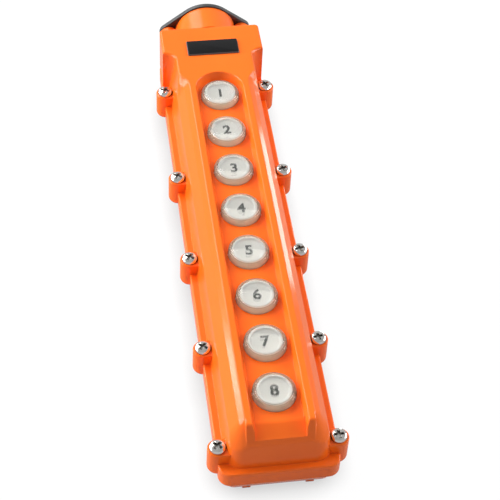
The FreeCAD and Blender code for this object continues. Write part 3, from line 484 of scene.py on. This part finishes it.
class Bench:
    """Modelling by hand: the few moves that the pieces share."""

    @staticmethod
    def clear() -> None:
        """Deselect everything."""
        if bpy.context.mode != "OBJECT":
            bpy.ops.object.mode_set(mode="OBJECT")
        bpy.ops.object.select_all(action="DESELECT")

    @staticmethod
    def pick(piece: bpy.types.Object) -> None:
        """Select one object alone and make it the active one.

        Args:
            piece: the object.
        """
        Bench.clear()
        piece.select_set(True)
        bpy.context.view_layer.objects.active = piece

    @staticmethod
    def spin(name: str, profile: Profile, steps: int) -> bpy.types.Object:
        """Turn a profile round the Z axis into a closed shape.

        Args:
            name: of the new object.
            profile: radius and height of each corner, in metres; both ends lie on the axis.
            steps: faces round the axis.

        Returns:
            The new object, at the origin.
        """
        Bench.clear()
        bpy.ops.mesh.primitive_plane_add(size=MM)
        piece = bpy.context.object
        piece.name = name
        bpy.ops.object.mode_set(mode="EDIT")
        bpy.ops.mesh.select_mode(type="VERT")
        bpy.ops.mesh.select_all(action="SELECT")
        bpy.ops.mesh.merge(type="CENTER")
        bpy.ops.transform.translate(value=(profile[0][0], 0.0, profile[0][1]))
        for (radius, height), (next_radius, next_height) in zip(profile, profile[1:]):
            move = (next_radius - radius, 0.0, next_height - height)
            bpy.ops.mesh.extrude_region_move(TRANSFORM_OT_translate={"value": move})
        bpy.ops.mesh.select_all(action="SELECT")
        bpy.ops.mesh.spin(steps=steps, angle=math.tau, center=(0, 0, 0), axis=(0, 0, 1))
        bpy.ops.mesh.select_all(action="SELECT")
        bpy.ops.mesh.remove_doubles(threshold=MERGE_REACH)
        bpy.ops.mesh.normals_make_consistent(inside=False)
        bpy.ops.object.mode_set(mode="OBJECT")
        return piece

    @staticmethod
    def smooth(piece: bpy.types.Object) -> None:
        """Shade a piece smooth, apart from its sharp edges."""
        Bench.pick(piece)
        bpy.ops.object.shade_smooth_by_angle(angle=SMOOTH_ANGLE)

    @staticmethod
    def round_edges(piece: bpy.types.Object, width: float, segments: int = 3, angle: float = 25.0) -> None:
        """Round the sharp edges of a piece and shade it smooth.

        Args:
            piece: the object.
            width: of the rounding, in metres.
            segments: of the rounding.
            angle: from which an edge counts as sharp, in degrees.
        """
        Bench.pick(piece)
        bevel = piece.modifiers.new("rounding", "BEVEL")
        bevel.width = width
        bevel.segments = segments
        bevel.limit_method = "ANGLE"
        bevel.angle_limit = math.radians(angle)
        bpy.ops.object.modifier_apply(modifier=bevel.name)
        Bench.smooth(piece)

    @staticmethod
    def cut(piece: bpy.types.Object, cutter: bpy.types.Object) -> None:
        """Cut one object out of another and delete the cutter.

        Args:
            piece: the object that is cut.
            cutter: the object that is taken out of it.
        """
        Bench.pick(piece)
        hole = piece.modifiers.new("cut", "BOOLEAN")
        hole.operation = "DIFFERENCE"
        hole.object = cutter
        bpy.ops.object.modifier_apply(modifier=hole.name)
        bpy.data.objects.remove(cutter)

    @staticmethod
    def copy(piece: bpy.types.Object, name: str) -> bpy.types.Object:
        """Copy an object together with its mesh.

        Args:
            piece: the object.
            name: of the copy.

        Returns:
            The copy.
        """
        twin = piece.copy()
        twin.data = piece.data.copy()
        twin.name = name
        bpy.context.scene.collection.objects.link(twin)
        return twin

    @staticmethod
    def copy_node(node: str, name: str) -> bpy.types.Object:
        """Copy a CAD node as a new piece, with the loose corners of its mesh merged.

        Args:
            node: name of the CAD node.
            name: of the new piece.

        Returns:
            The new piece.
        """
        piece = Bench.copy(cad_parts[node], name)
        for key in list(piece.keys()):
            del piece[key]
        Bench.pick(piece)
        bpy.ops.object.mode_set(mode="EDIT")
        bpy.ops.mesh.select_all(action="SELECT")
        bpy.ops.mesh.remove_doubles(threshold=MERGE_REACH)
        bpy.ops.object.mode_set(mode="OBJECT")
        return piece

    @staticmethod
    def settle(piece: bpy.types.Object, place: Matrix) -> None:
        """Put a piece in its place and keep the place in its mesh.

        Args:
            piece: the object.
            place: where it goes.
        """
        Bench.pick(piece)
        piece.matrix_world = place
        bpy.ops.object.transform_apply(location=True, rotation=True, scale=True)

    @staticmethod
    def wear(
        piece: bpy.types.Object, material: bpy.types.Material, slot: str, body: str, node: str = "",
    ) -> None:
        """Give a new piece its finish and its body, and hide the CAD node that it replaces.

        Args:
            piece: the object.
            material: of its whole surface.
            slot: of the record's materials; not used.
            body: that it moves with.
            node: CAD node that it replaces, if any.
        """
        piece.data.materials.clear()
        piece.data.materials.append(material)
        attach(piece, body)
        if node:
            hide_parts(node)
        log.info("%s: %d faces", piece.name, len(piece.data.polygons))

    @staticmethod
    def dress(node: str, material: bpy.types.Material) -> None:
        """Give a CAD node its finish.

        Args:
            node: name of the CAD node.
            material: of its whole surface.
        """
        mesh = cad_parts[node].data
        mesh.materials.clear()
        mesh.materials.append(material)
        log.info("%s: %s", node, material.name)


@dataclass
class PanScrew:
    """Cross-recessed pan-head screw, modelled upright with the underside of its head at height 0."""

    head_radius: float = 4.7 * MM
    head_height: float = 2.6 * MM
    round_radius: float = 1.6 * MM
    round_steps: int = 6
    crown: float = 0.35 * MM
    crown_start: float = 0.55
    crown_fall: float = 0.3
    shank_radius: float = 2.0 * MM
    shank_length: float = 18.0 * MM
    recess_length: float = 6.8 * MM
    recess_width: float = 1.9 * MM
    recess_depth: float = 2.2 * MM
    length_taper: float = 0.7
    width_taper: float = 0.8
    steps: int = 48
    edge: float = 0.12 * MM
    edge_segments: int = 2
    edge_angle: float = 35.0

    def build(self, name: str) -> bpy.types.Object:
        """Model the screw.

        Args:
            name: of the object.

        Returns:
            The screw at the origin.
        """
        flat = self.head_radius - self.round_radius
        side = self.head_height - self.crown - self.round_radius
        turns = [step * math.pi / (2 * self.round_steps) for step in range(self.round_steps)]
        corner = [
            (flat + self.round_radius * math.cos(turn), side + self.round_radius * math.sin(turn))
            for turn in turns
        ]
        profile = [
            (0.0, -self.shank_length),
            (self.shank_radius, -self.shank_length),
            (self.shank_radius, 0.0),
            (self.head_radius, 0.0),
            *corner,
            (flat * self.crown_start, self.head_height - self.crown * self.crown_fall),
            (0.0, self.head_height),
        ]
        screw = Bench.spin(name, profile, self.steps)
        for turn in (0.0, math.pi / 2):
            Bench.cut(screw, self.arm(turn))
        Bench.round_edges(screw, self.edge, self.edge_segments, self.edge_angle)
        return screw

    def arm(self, turn: float) -> bpy.types.Object:
        """Model the block that cuts one arm pair of the recess.

        Args:
            turn: of the arms round the axis, in radians.

        Returns:
            The block, shorter and narrower towards its bottom.
        """
        Bench.clear()
        bpy.ops.mesh.primitive_cube_add(size=1.0)
        block = bpy.context.object
        block.scale = (self.recess_length, self.recess_width, 2 * self.recess_depth)
        block.location = (0.0, 0.0, self.head_height)
        bpy.ops.object.transform_apply(location=True, rotation=False, scale=True)
        for corner in block.data.vertices:
            if corner.co.z < self.head_height:
                corner.co.x *= self.length_taper
                corner.co.y *= self.width_taper
        block.rotation_euler.z = turn
        bpy.ops.object.transform_apply(location=False, rotation=True, scale=False)
        return block


@dataclass
class Case:
    """Moulded cover and tray with the gasket between them."""

    orange: MouldedPlastic = MouldedPlastic(
        name="moulded_orange", colour=(0.95, 0.155, 0.0115), deep=(0.93, 0.143, 0.0102), gloss=(0.17, 0.24),
    )
    gasket: Rubber = Rubber(name="gasket_rubber")

    def build(self) -> None:
        """Dress the cover, the tray and the gasket."""
        orange = self.orange.material()
        Bench.dress("front_cover", orange)
        Bench.dress("rear_housing", orange)
        Bench.dress("housing_gasket", self.gasket.material())


@dataclass
class CoverScrews:
    """Ten screws that hold the cover on the tray."""

    node: str = "cover_screws"
    pitch: float = 68.0 * MM
    even_rows: int = 4
    turn_step: float = math.radians(137.5)

    def places(self, radius: float) -> list[Vector]:
        """Work out where the heads sit.

        Args:
            radius: of a head.

        Returns:
            Middle of the top of each head.
        """
        low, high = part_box(self.node)
        rows = [low.y + radius + row * self.pitch for row in range(self.even_rows)]
        rows.append(high.y - radius)
        return [Vector((x, y, high.z)) for y in rows for x in (low.x + radius, high.x - radius)]

    def build(self, finish: bpy.types.Material) -> None:
        """Model one screw, copy it for every lug and put each in its place.

        Args:
            finish: of the screws.
        """
        low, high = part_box(self.node)
        screw = PanScrew()
        screw.shank_length = high.z - low.z - screw.head_height
        places = self.places(screw.head_radius)
        first = screw.build("cover_screw_1")
        copies = [Bench.copy(first, f"cover_screw_{number}") for number in range(2, len(places) + 1)]
        sink = Vector((0.0, 0.0, -screw.head_height))
        for number, (piece, place) in enumerate(zip([first, *copies], places), 1):
            turn = Matrix.Rotation(number * self.turn_step, 4, "Z")
            Bench.settle(piece, Matrix.Translation(place + sink) @ turn)
            Bench.wear(piece, finish, "polished_screw", HOUSING, self.node)


@dataclass
class CableClamp:
    """Clamp plate over the end of the neck, its two screws and the bush that it squeezes."""

    plate_node: str = "cable_clamp_plate"
    screw_node: str = "clamp_plate_screws"
    flat_angle: float = math.radians(1)
    edge: float = 0.35 * MM
    edge_segments: int = 2
    edge_angle: float = 40.0
    black: CoatedPlate = CoatedPlate(
        name="clamp_black", colour=(0.014, 0.014, 0.015), worn=(0.05, 0.053, 0.055), gloss=(0.3, 0.45),
        facing=Facing.ALONG_CASE,
    )
    rubber: Rubber = Rubber(name="bush_rubber")

    def build(self, finish: bpy.types.Material) -> None:
        """Model the plate and its screws and dress the bush.

        Args:
            finish: of the screws.
        """
        plate = Bench.copy_node(self.plate_node, "clamp_plate")
        bpy.ops.object.mode_set(mode="EDIT")
        bpy.ops.mesh.select_all(action="SELECT")
        bpy.ops.mesh.dissolve_limited(angle_limit=self.flat_angle)
        bpy.ops.object.mode_set(mode="OBJECT")
        Bench.round_edges(plate, self.edge, self.edge_segments, self.edge_angle)
        Bench.wear(plate, self.black.material(), "black_clamp", HOUSING, self.plate_node)
        Bench.dress("cable_bush", self.rubber.material())
        self.add_screws(finish)

    def add_screws(self, finish: bpy.types.Material) -> None:
        """Model the two screws, which lie along the case.

        Args:
            finish: of the screws.
        """
        low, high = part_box(self.screw_node)
        screw = PanScrew()
        screw.head_radius = (high.z - low.z) / 2
        screw.shank_length = high.y - low.y - screw.head_height
        for side, x in (("left", low.x + screw.head_radius), ("right", high.x - screw.head_radius)):
            piece = screw.build(f"clamp_screw_{side}")
            place = Vector((x, high.y - screw.head_height, (low.z + high.z) / 2))
            Bench.settle(piece, Matrix.Translation(place) @ Matrix.Rotation(-math.pi / 2, 4, "X"))
            Bench.wear(piece, finish, "polished_screw", HOUSING, self.screw_node)


@dataclass
class Nameplate:
    """Small bare plate on the head: gloss black with a painted paler highlight on its bevelled rim."""

    node: str = "nameplate"
    corner: float = 1.0 * MM
    corner_segments: int = 6
    bevel: float = 0.55 * MM
    bevel_segments: int = 3
    least_rise: float = 0.1 * MM
    top_reach: float = 0.01 * MM
    black: CoatedPlate = CoatedPlate(
        name="nameplate_black", colour=(0.004, 0.004, 0.0045), worn=(0.12, 0.125, 0.13), gloss=(0.05, 0.1),
        facing=Facing.UP, grain_depth=0.0008 * MM, shine=0.3,
    )

    def build(self) -> None:
        """Model the plate."""
        low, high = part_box(self.node)
        Bench.clear()
        bpy.ops.mesh.primitive_cube_add(size=1.0, location=(low + high) / 2)
        plate = bpy.context.object
        plate.name = "name_plate"
        plate.scale = high - low
        bpy.ops.object.transform_apply(location=True, rotation=True, scale=True)
        self.bevel_edges(plate, Edges.UPRIGHT, self.corner, self.corner_segments)
        self.bevel_edges(plate, Edges.TOP, self.bevel, self.bevel_segments)
        Bench.smooth(plate)
        Bench.wear(plate, self.black.material(), "black_gloss", HOUSING, self.node)

    def bevel_edges(self, plate: bpy.types.Object, edges: Edges, width: float, segments: int) -> None:
        """Bevel the upright edges, or those round the top.

        Args:
            plate: the object.
            edges: which of its edges.
            width: of the bevel, in metres.
            segments: of the bevel.
        """
        Bench.pick(plate)
        top = max(corner.co.z for corner in plate.data.vertices)
        bpy.ops.object.mode_set(mode="EDIT")
        bpy.ops.mesh.select_mode(type="EDGE")
        bpy.ops.mesh.select_all(action="DESELECT")
        bpy.ops.object.mode_set(mode="OBJECT")
        for edge in plate.data.edges:
            first, second = (plate.data.vertices[index].co.z for index in edge.vertices)
            if edges is Edges.UPRIGHT:
                edge.select = abs(first - second) > self.least_rise
            else:
                edge.select = min(first, second) > top - self.top_reach
        bpy.ops.object.mode_set(mode="EDIT")
        bpy.ops.mesh.bevel(offset=width, segments=segments)
        bpy.ops.object.mode_set(mode="OBJECT")


@dataclass
class ButtonRow:
    """Row of push buttons: white dished bodies with plain numbers under clear caps."""

    cap_bore: float = 10.65 * MM
    cap_top: float = 1.0 * MM
    cap_edge: float = 0.22 * MM
    skirt_height: float = 7.8 * MM
    crown_radius: float = 11.3 * MM
    crown_step: float = 0.4 * MM
    crown_lean: float = 0.2 * MM
    crown_bevel: float = 0.5 * MM
    drum_radius: float = 9.8 * MM
    drum_edge: float = 0.2 * MM
    collar_height: float = 2.5 * MM
    rim: float = 1.2 * MM
    dish_depth: float = 1.1 * MM
    dish_bend: float = 0.5 * MM
    dish_bend_share: float = 0.75
    dish_foot: float = 1.1 * MM
    stem_radius: float = 4.0 * MM
    stem_end: float = 25.2 * MM
    tail_radius: float = 2.2 * MM
    steps: int = 96
    digit_height: float = 10.0 * MM
    digit_thickness: float = 0.02 * MM
    digit_weight: float = 0.03
    clear: ClearPlastic = ClearPlastic(name="cap_clear")
    white: MouldedPlastic = MouldedPlastic(
        name="button_white", colour=(0.77, 0.77, 0.73), deep=(0.73, 0.73, 0.69), gloss=(0.3, 0.42),
        edge=0.15 * MM,
    )
    ink: MouldedPlastic = MouldedPlastic(
        name="button_ink", colour=(0.055, 0.062, 0.055), deep=(0.08, 0.086, 0.078), gloss=(0.4, 0.55),
        edge=0.01 * MM,
    )

    def cap_profile(self, node: str) -> Profile:
        """Lay out a cap's section from its node's size.

        Args:
            node: the cap's CAD node.

        Returns:
            Radius and height of each corner.
        """
        low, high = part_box(node)
        skirt = (high.x - low.x) / 2
        shoulder = low.z + self.skirt_height
        crown = self.crown_radius - self.crown_lean
        return [
            (0.0, high.z - self.cap_top),
            (self.cap_bore, high.z - self.cap_top),
            (self.cap_bore, low.z),
            (skirt, low.z),
            (skirt, shoulder),
            (self.crown_radius, shoulder + self.crown_step),
            (crown, high.z - self.crown_bevel),
            (crown - self.crown_bevel, high.z),
            (0.0, high.z),
        ]

    def body_profile(self, node: str, cap_node: str) -> Profile:
        """Lay out the section of a button body from its node's size.

        Args:
            node: the body's CAD node.
            cap_node: the CAD node of its cap, which stands on the collar.

        Returns:
            Radius and height of each corner.
        """
        low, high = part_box(node)
        collar = (high.x - low.x) / 2
        collar_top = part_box(cap_node)[0].z
        inside = self.drum_radius - self.rim
        return [
            (0.0, low.z),
            (self.tail_radius, low.z),
            (self.tail_radius, self.stem_end),
            (self.stem_radius, self.stem_end),
            (self.stem_radius, collar_top - self.collar_height),
            (collar, collar_top - self.collar_height),
            (collar, collar_top),
            (self.drum_radius, collar_top),
            (self.drum_radius, high.z),
            (inside, high.z),
            (inside - self.dish_bend, high.z - self.dish_depth * self.dish_bend_share),
            (inside - self.dish_foot, high.z - self.dish_depth),
            (0.0, high.z - self.dish_depth),
        ]

    def add_digit(self, number: int, ink: bpy.types.Material) -> None:
        """Print a button's number on its dish.

        Args:
            number: of the button, counted from the cable end.
            ink: finish of the print.
        """
        low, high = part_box(f"button_body_{number}")
        Bench.clear()
        bpy.ops.object.text_add()
        digit = bpy.context.object
        digit.data.body = str(number)
        digit.data.size = self.digit_height
        digit.data.extrude = self.digit_thickness
        digit.data.offset = self.digit_weight * self.digit_height
        bpy.ops.object.convert(target="MESH")
        digit = bpy.context.object
        digit.name = f"button_number_{number}"
        across = [corner.co.x for corner in digit.data.vertices]
        along = [corner.co.y for corner in digit.data.vertices]
        middle = Vector((min(across) + max(across), min(along) + max(along), 0.0)) / 2
        dish = Vector(((low.x + high.x) / 2, (low.y + high.y) / 2, high.z - self.dish_depth))
        Bench.settle(digit, Matrix.Translation(dish - middle))
        Bench.wear(digit, ink, "block_plastic", f"button_{number}")

    def build(self) -> None:
        """Model the caps, bodies and numbers of all buttons."""
        clear = self.clear.material()
        white = self.white.material()
        ink = self.ink.material()
        for number in range(1, BUTTON_COUNT + 1):
            cap_node = f"button_cap_{number}"
            body_node = f"button_body_{number}"
            low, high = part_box(cap_node)
            middle = Matrix.Translation(((low.x + high.x) / 2, (low.y + high.y) / 2, 0.0))
            cap = Bench.spin(f"clear_cap_{number}", self.cap_profile(cap_node), self.steps)
            Bench.round_edges(cap, self.cap_edge)
            Bench.settle(cap, middle)
            Bench.wear(cap, clear, "clear_cap", f"button_{number}", cap_node)
            body = Bench.spin(f"button_drum_{number}", self.body_profile(body_node, cap_node), self.steps)
            Bench.round_edges(body, self.drum_edge)
            Bench.settle(body, middle)
            Bench.wear(body, white, "white_button", f"button_{number}", body_node)
            self.add_digit(number, ink)


@dataclass
class SwitchGear:
    """Switch blocks, contacts, springs and the strip that carries them, inside the case."""

    travel: float = 4.0 * MM
    steel: BareMetal = BareMetal(
        name="zinc_plate", colour=(0.62, 0.62, 0.6), tarnish=(0.5, 0.5, 0.47), gloss=(0.28, 0.45),
        lines=Relief.ALONG_CASE,
    )
    brass: BareMetal = BareMetal(
        name="contact_brass", colour=(0.75, 0.52, 0.2), tarnish=(0.6, 0.38, 0.13), gloss=(0.2, 0.38),
        lines=Relief.ACROSS_CASE,
    )
    moulded: MouldedPlastic = MouldedPlastic(
        name="block_thermoset", colour=(0.04, 0.04, 0.043), deep=(0.06, 0.06, 0.062), gloss=(0.45, 0.6),
    )
    seal: Rubber = Rubber(name="seal_rubber")

    def build(self, screw_finish: bpy.types.Material) -> None:
        """Dress the nodes inside the case and model the springs.

        Args:
            screw_finish: of the small screws.
        """
        steel = self.steel.material()
        brass = self.brass.material()
        moulded = self.moulded.material()
        Bench.dress("switch_chassis", steel)
        Bench.dress("fixed_contacts", brass)
        Bench.dress("button_seals", self.seal.material())
        Bench.dress("chassis_screws", screw_finish)
        Bench.dress("terminal_screws", screw_finish)
        for number in range(1, BUTTON_COUNT + 1):
            Bench.dress(f"switch_block_{number}", moulded)
            Bench.dress(f"contact_bridge_{number}", brass)
            self.add_spring(number, steel)

    def add_spring(self, number: int, steel: bpy.types.Material) -> None:
        """Model a return spring as a smoothed copy of its node.

        Args:
            number: of the button.
            steel: finish of the spring.
        """
        node = f"return_spring_{number}"
        spring = Bench.copy_node(node, f"pressed_spring_{number}")
        Bench.smooth(spring)
        Bench.wear(spring, steel, "plated_steel", HOUSING, node)
        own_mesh(spring)


@dataclass(frozen=True)
class Lamp:
    """Soft rectangular lamp that looks at one spot and stays out of the picture."""

    name: str
    place: Place
    width: float
    height: float
    power: float
    aim: Place = MIDDLE
    shine: Shine = Shine.ALL

    def hang(self) -> None:
        """Put the lamp in its place."""
        Bench.clear()
        bpy.ops.object.light_add(type="AREA", location=self.place)
        lamp = bpy.context.object
        lamp.name = f"{self.name}_lamp"
        lamp.data.shape = "RECTANGLE"
        lamp.data.size = self.width
        lamp.data.size_y = self.height
        lamp.data.energy = self.power
        lamp.visible_camera = False
        lamp.visible_diffuse = self.shine is not Shine.GLOSS
        lamp.visible_glossy = self.shine is not Shine.MATT
        look = Vector(self.aim) - Vector(self.place)
        lamp.rotation_euler = look.to_track_quat("-Z", "Y").to_euler()


@dataclass
class Studio:
    """Pale floor, soft lamps, white surroundings and the camera at the photograph's angle."""

    target: Place = (3.24 * MM, -29.62 * MM, 31.5 * MM)
    azimuth: float = math.radians(-10.28)
    elevation: float = math.radians(48.55)
    roll: float = math.radians(3.21)
    distance: float = 903.63 * MM
    lens: float = 108.0
    sensor: float = 36.0
    floor_size: float = 8.0
    floor_tone: float = 0.04
    floor_bounce: float = 0.58
    floor_roughness: float = 0.9
    floor_glow: float = 0.97
    floor_shade: float = 0.58
    floor_sheen: float = 0.42
    shade_reach: float = 20.0 * MM
    shade_samples: int = 16
    shade_span: Span = (0.2, 0.8)
    sky: float = 0.345
    gloss_level: float = 0.6
    gloss_overhead: float = 0.4
    gloss_span: Span = (0.2, 1.0)
    lamps: tuple[Lamp, ...] = (
        Lamp("key", place=(-1.2, 1.44, 1.49), width=1.9, height=1.6, power=36.0, shine=Shine.MATT),
        Lamp("key_gleam", place=(-1.15, 1.38, 1.43), width=1.9, height=1.6, power=27.0),
        Lamp("left", place=(-1.5, 0.25, 0.6), width=1.2, height=0.8, power=24.0),
        Lamp("right", place=(1.5, 0.3, 0.9), width=1.2, height=0.8, power=22.0),
        Lamp(
            "strip", place=(0.11, 0.072, 0.026), width=0.14, height=0.05, power=0.14,
            aim=(0.0, 0.072, 0.026), shine=Shine.GLOSS,
        ),
        Lamp(
            "glint", place=(-0.30, 0.075, 0.085), width=0.05, height=0.05, power=0.1,
            aim=(-0.03, -0.16, 0.045), shine=Shine.GLOSS,
        ),
    )

    def build(self) -> None:
        """Set up the studio."""
        self.add_camera()
        self.add_floor()
        self.add_sky()
        for lamp in self.lamps:
            lamp.hang()
        bpy.context.scene.view_settings.view_transform = "Standard"

    def add_camera(self) -> None:
        """Put the camera where the photograph was taken."""
        back = Vector((
            math.sin(self.azimuth) * math.cos(self.elevation),
            -math.cos(self.azimuth) * math.cos(self.elevation),
            math.sin(self.elevation),
        ))
        level = Vector((math.cos(self.azimuth), math.sin(self.azimuth), 0.0))
        upright = back.cross(level)
        right = math.cos(self.roll) * level + math.sin(self.roll) * upright
        up = -math.sin(self.roll) * level + math.cos(self.roll) * upright
        Bench.clear()
        bpy.ops.object.camera_add()
        camera = bpy.context.object
        camera.data.lens = self.lens
        camera.data.sensor_width = self.sensor
        turn = Matrix((right, up, back)).transposed().to_4x4()
        camera.matrix_world = Matrix.Translation(Vector(self.target) + back * self.distance) @ turn
        bpy.context.scene.camera = camera

    @staticmethod
    def seen(tree: bpy.types.NodeTree, rays: tuple[Ray, ...]) -> Socket:
        """Give 1 for some kinds of rays and 0 for all others.

        Args:
            tree: node tree that gets the nodes.
            rays: the kinds.

        Returns:
            The value.
        """
        path = tree.nodes.new("ShaderNodeLightPath")
        total = path.outputs[rays[0].value]
        for ray in rays[1:]:
            add = tree.nodes.new("ShaderNodeMath")
            add.operation = "ADD"
            add.use_clamp = True
            tree.links.new(total, add.inputs[0])
            tree.links.new(path.outputs[ray.value], add.inputs[1])
            total = add.outputs["Value"]
        return total

    def add_floor(self) -> None:
        """Lay the floor, which looks white, keeps a faint cast shadow and gets a painted shadow close to the
        object.
        """
        Bench.clear()
        bpy.ops.mesh.primitive_plane_add(size=self.floor_size)
        floor = bpy.context.object
        floor.name = "floor"
        material = bpy.data.materials.new("studio_floor")
        material.use_nodes = True
        tree = material.node_tree
        shader = tree.nodes["Principled BSDF"]
        tone = map_range(tree, self.seen(tree, (Ray.BOUNCE,)), UNIT, (self.floor_tone, self.floor_bounce))
        tree.links.new(tone, shader.inputs["Base Color"])
        shader.inputs["Roughness"].default_value = self.floor_roughness
        shader.inputs["Specular IOR Level"].default_value = 0.0
        shader.inputs["Emission Color"].default_value = WHITE
        tree.links.new(self.floor_light(tree), shader.inputs["Emission Strength"])
        floor.data.materials.append(material)

    def floor_light(self, tree: bpy.types.NodeTree) -> Socket:
        """Give the floor's own light: what the camera sees, dimmed near the object as a painted shadow, and a
        weaker sheen that gloss sees.

        Args:
            tree: node tree that gets the nodes.

        Returns:
            The strength.
        """
        glow = tree.nodes.new("ShaderNodeMath")
        glow.operation = "MULTIPLY"
        tree.links.new(self.seen(tree, (Ray.CAMERA, Ray.CLEAR)), glow.inputs[0])
        tree.links.new(self.floor_glimmer(tree), glow.inputs[1])
        sheen = tree.nodes.new("ShaderNodeMath")
        sheen.operation = "MULTIPLY_ADD"
        tree.links.new(self.seen(tree, (Ray.GLOSS,)), sheen.inputs[0])
        sheen.inputs[1].default_value = self.floor_sheen
        tree.links.new(glow.outputs["Value"], sheen.inputs[2])
        return sheen.outputs["Value"]

    def floor_glimmer(self, tree: bpy.types.NodeTree) -> Socket:
        """Give the light that the camera sees: full in the open and less close to the object, a painted
        shadow.

        Args:
            tree: node tree that gets the nodes.

        Returns:
            The strength.
        """
        openness = tree.nodes.new("ShaderNodeAmbientOcclusion")
        openness.samples = self.shade_samples
        openness.inputs["Distance"].default_value = self.shade_reach
        # painted shadow: the floor's glow drops towards floor_shade where the object is near
        return map_range(tree, openness.outputs["AO"], self.shade_span, (self.floor_shade, self.floor_glow))

    def add_sky(self) -> None:
        """Surround the scene with white that lights the object softly."""
        world = bpy.data.worlds.new("studio_sky")
        world.use_nodes = True
        tree = world.node_tree
        background = tree.nodes["Background"]
        background.inputs["Color"].default_value = WHITE
        strength = map_range(tree, self.seen(tree, (Ray.CAMERA, Ray.CLEAR)), UNIT, (self.sky, 1.0))
        choice = tree.nodes.new("ShaderNodeMix")
        tree.links.new(self.seen(tree, (Ray.GLOSS,)), choice.inputs["Factor"])
        tree.links.new(strength, choice.inputs["A"])
        tree.links.new(self.sky_gloss(tree), choice.inputs["B"])
        tree.links.new(choice.outputs["Result"], background.inputs["Strength"])
        bpy.context.scene.world = world

    def sky_gloss(self, tree: bpy.types.NodeTree) -> Socket:
        """Give the strength that gloss sees: full at the horizon, less overhead.

        Args:
            tree: node tree that gets the nodes.

        Returns:
            The strength.
        """
        way = tree.nodes.new("ShaderNodeTexCoord")
        parts = tree.nodes.new("ShaderNodeSeparateXYZ")
        tree.links.new(way.outputs["Generated"], parts.inputs["Vector"])
        return map_range(tree, parts.outputs["Z"], self.gloss_span, (self.gloss_level, self.gloss_overhead))


def main() -> None:
    """Build the studio, then every sub-assembly; each new piece's face count goes to the log."""
    logging.basicConfig(level=logging.INFO, format="%(name)s %(message)s")
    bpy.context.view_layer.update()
    polished = BareMetal(
        name="polished_steel", colour=(0.86, 0.84, 0.81), tarnish=(0.72, 0.69, 0.64), gloss=(0.05, 0.14),
    ).material()
    Studio().build()
    Case().build()
    CoverScrews().build(polished)
    CableClamp().build(polished)
    Nameplate().build()
    ButtonRow().build()
    SwitchGear().build(polished)


if __name__ == "__main__":
    main()
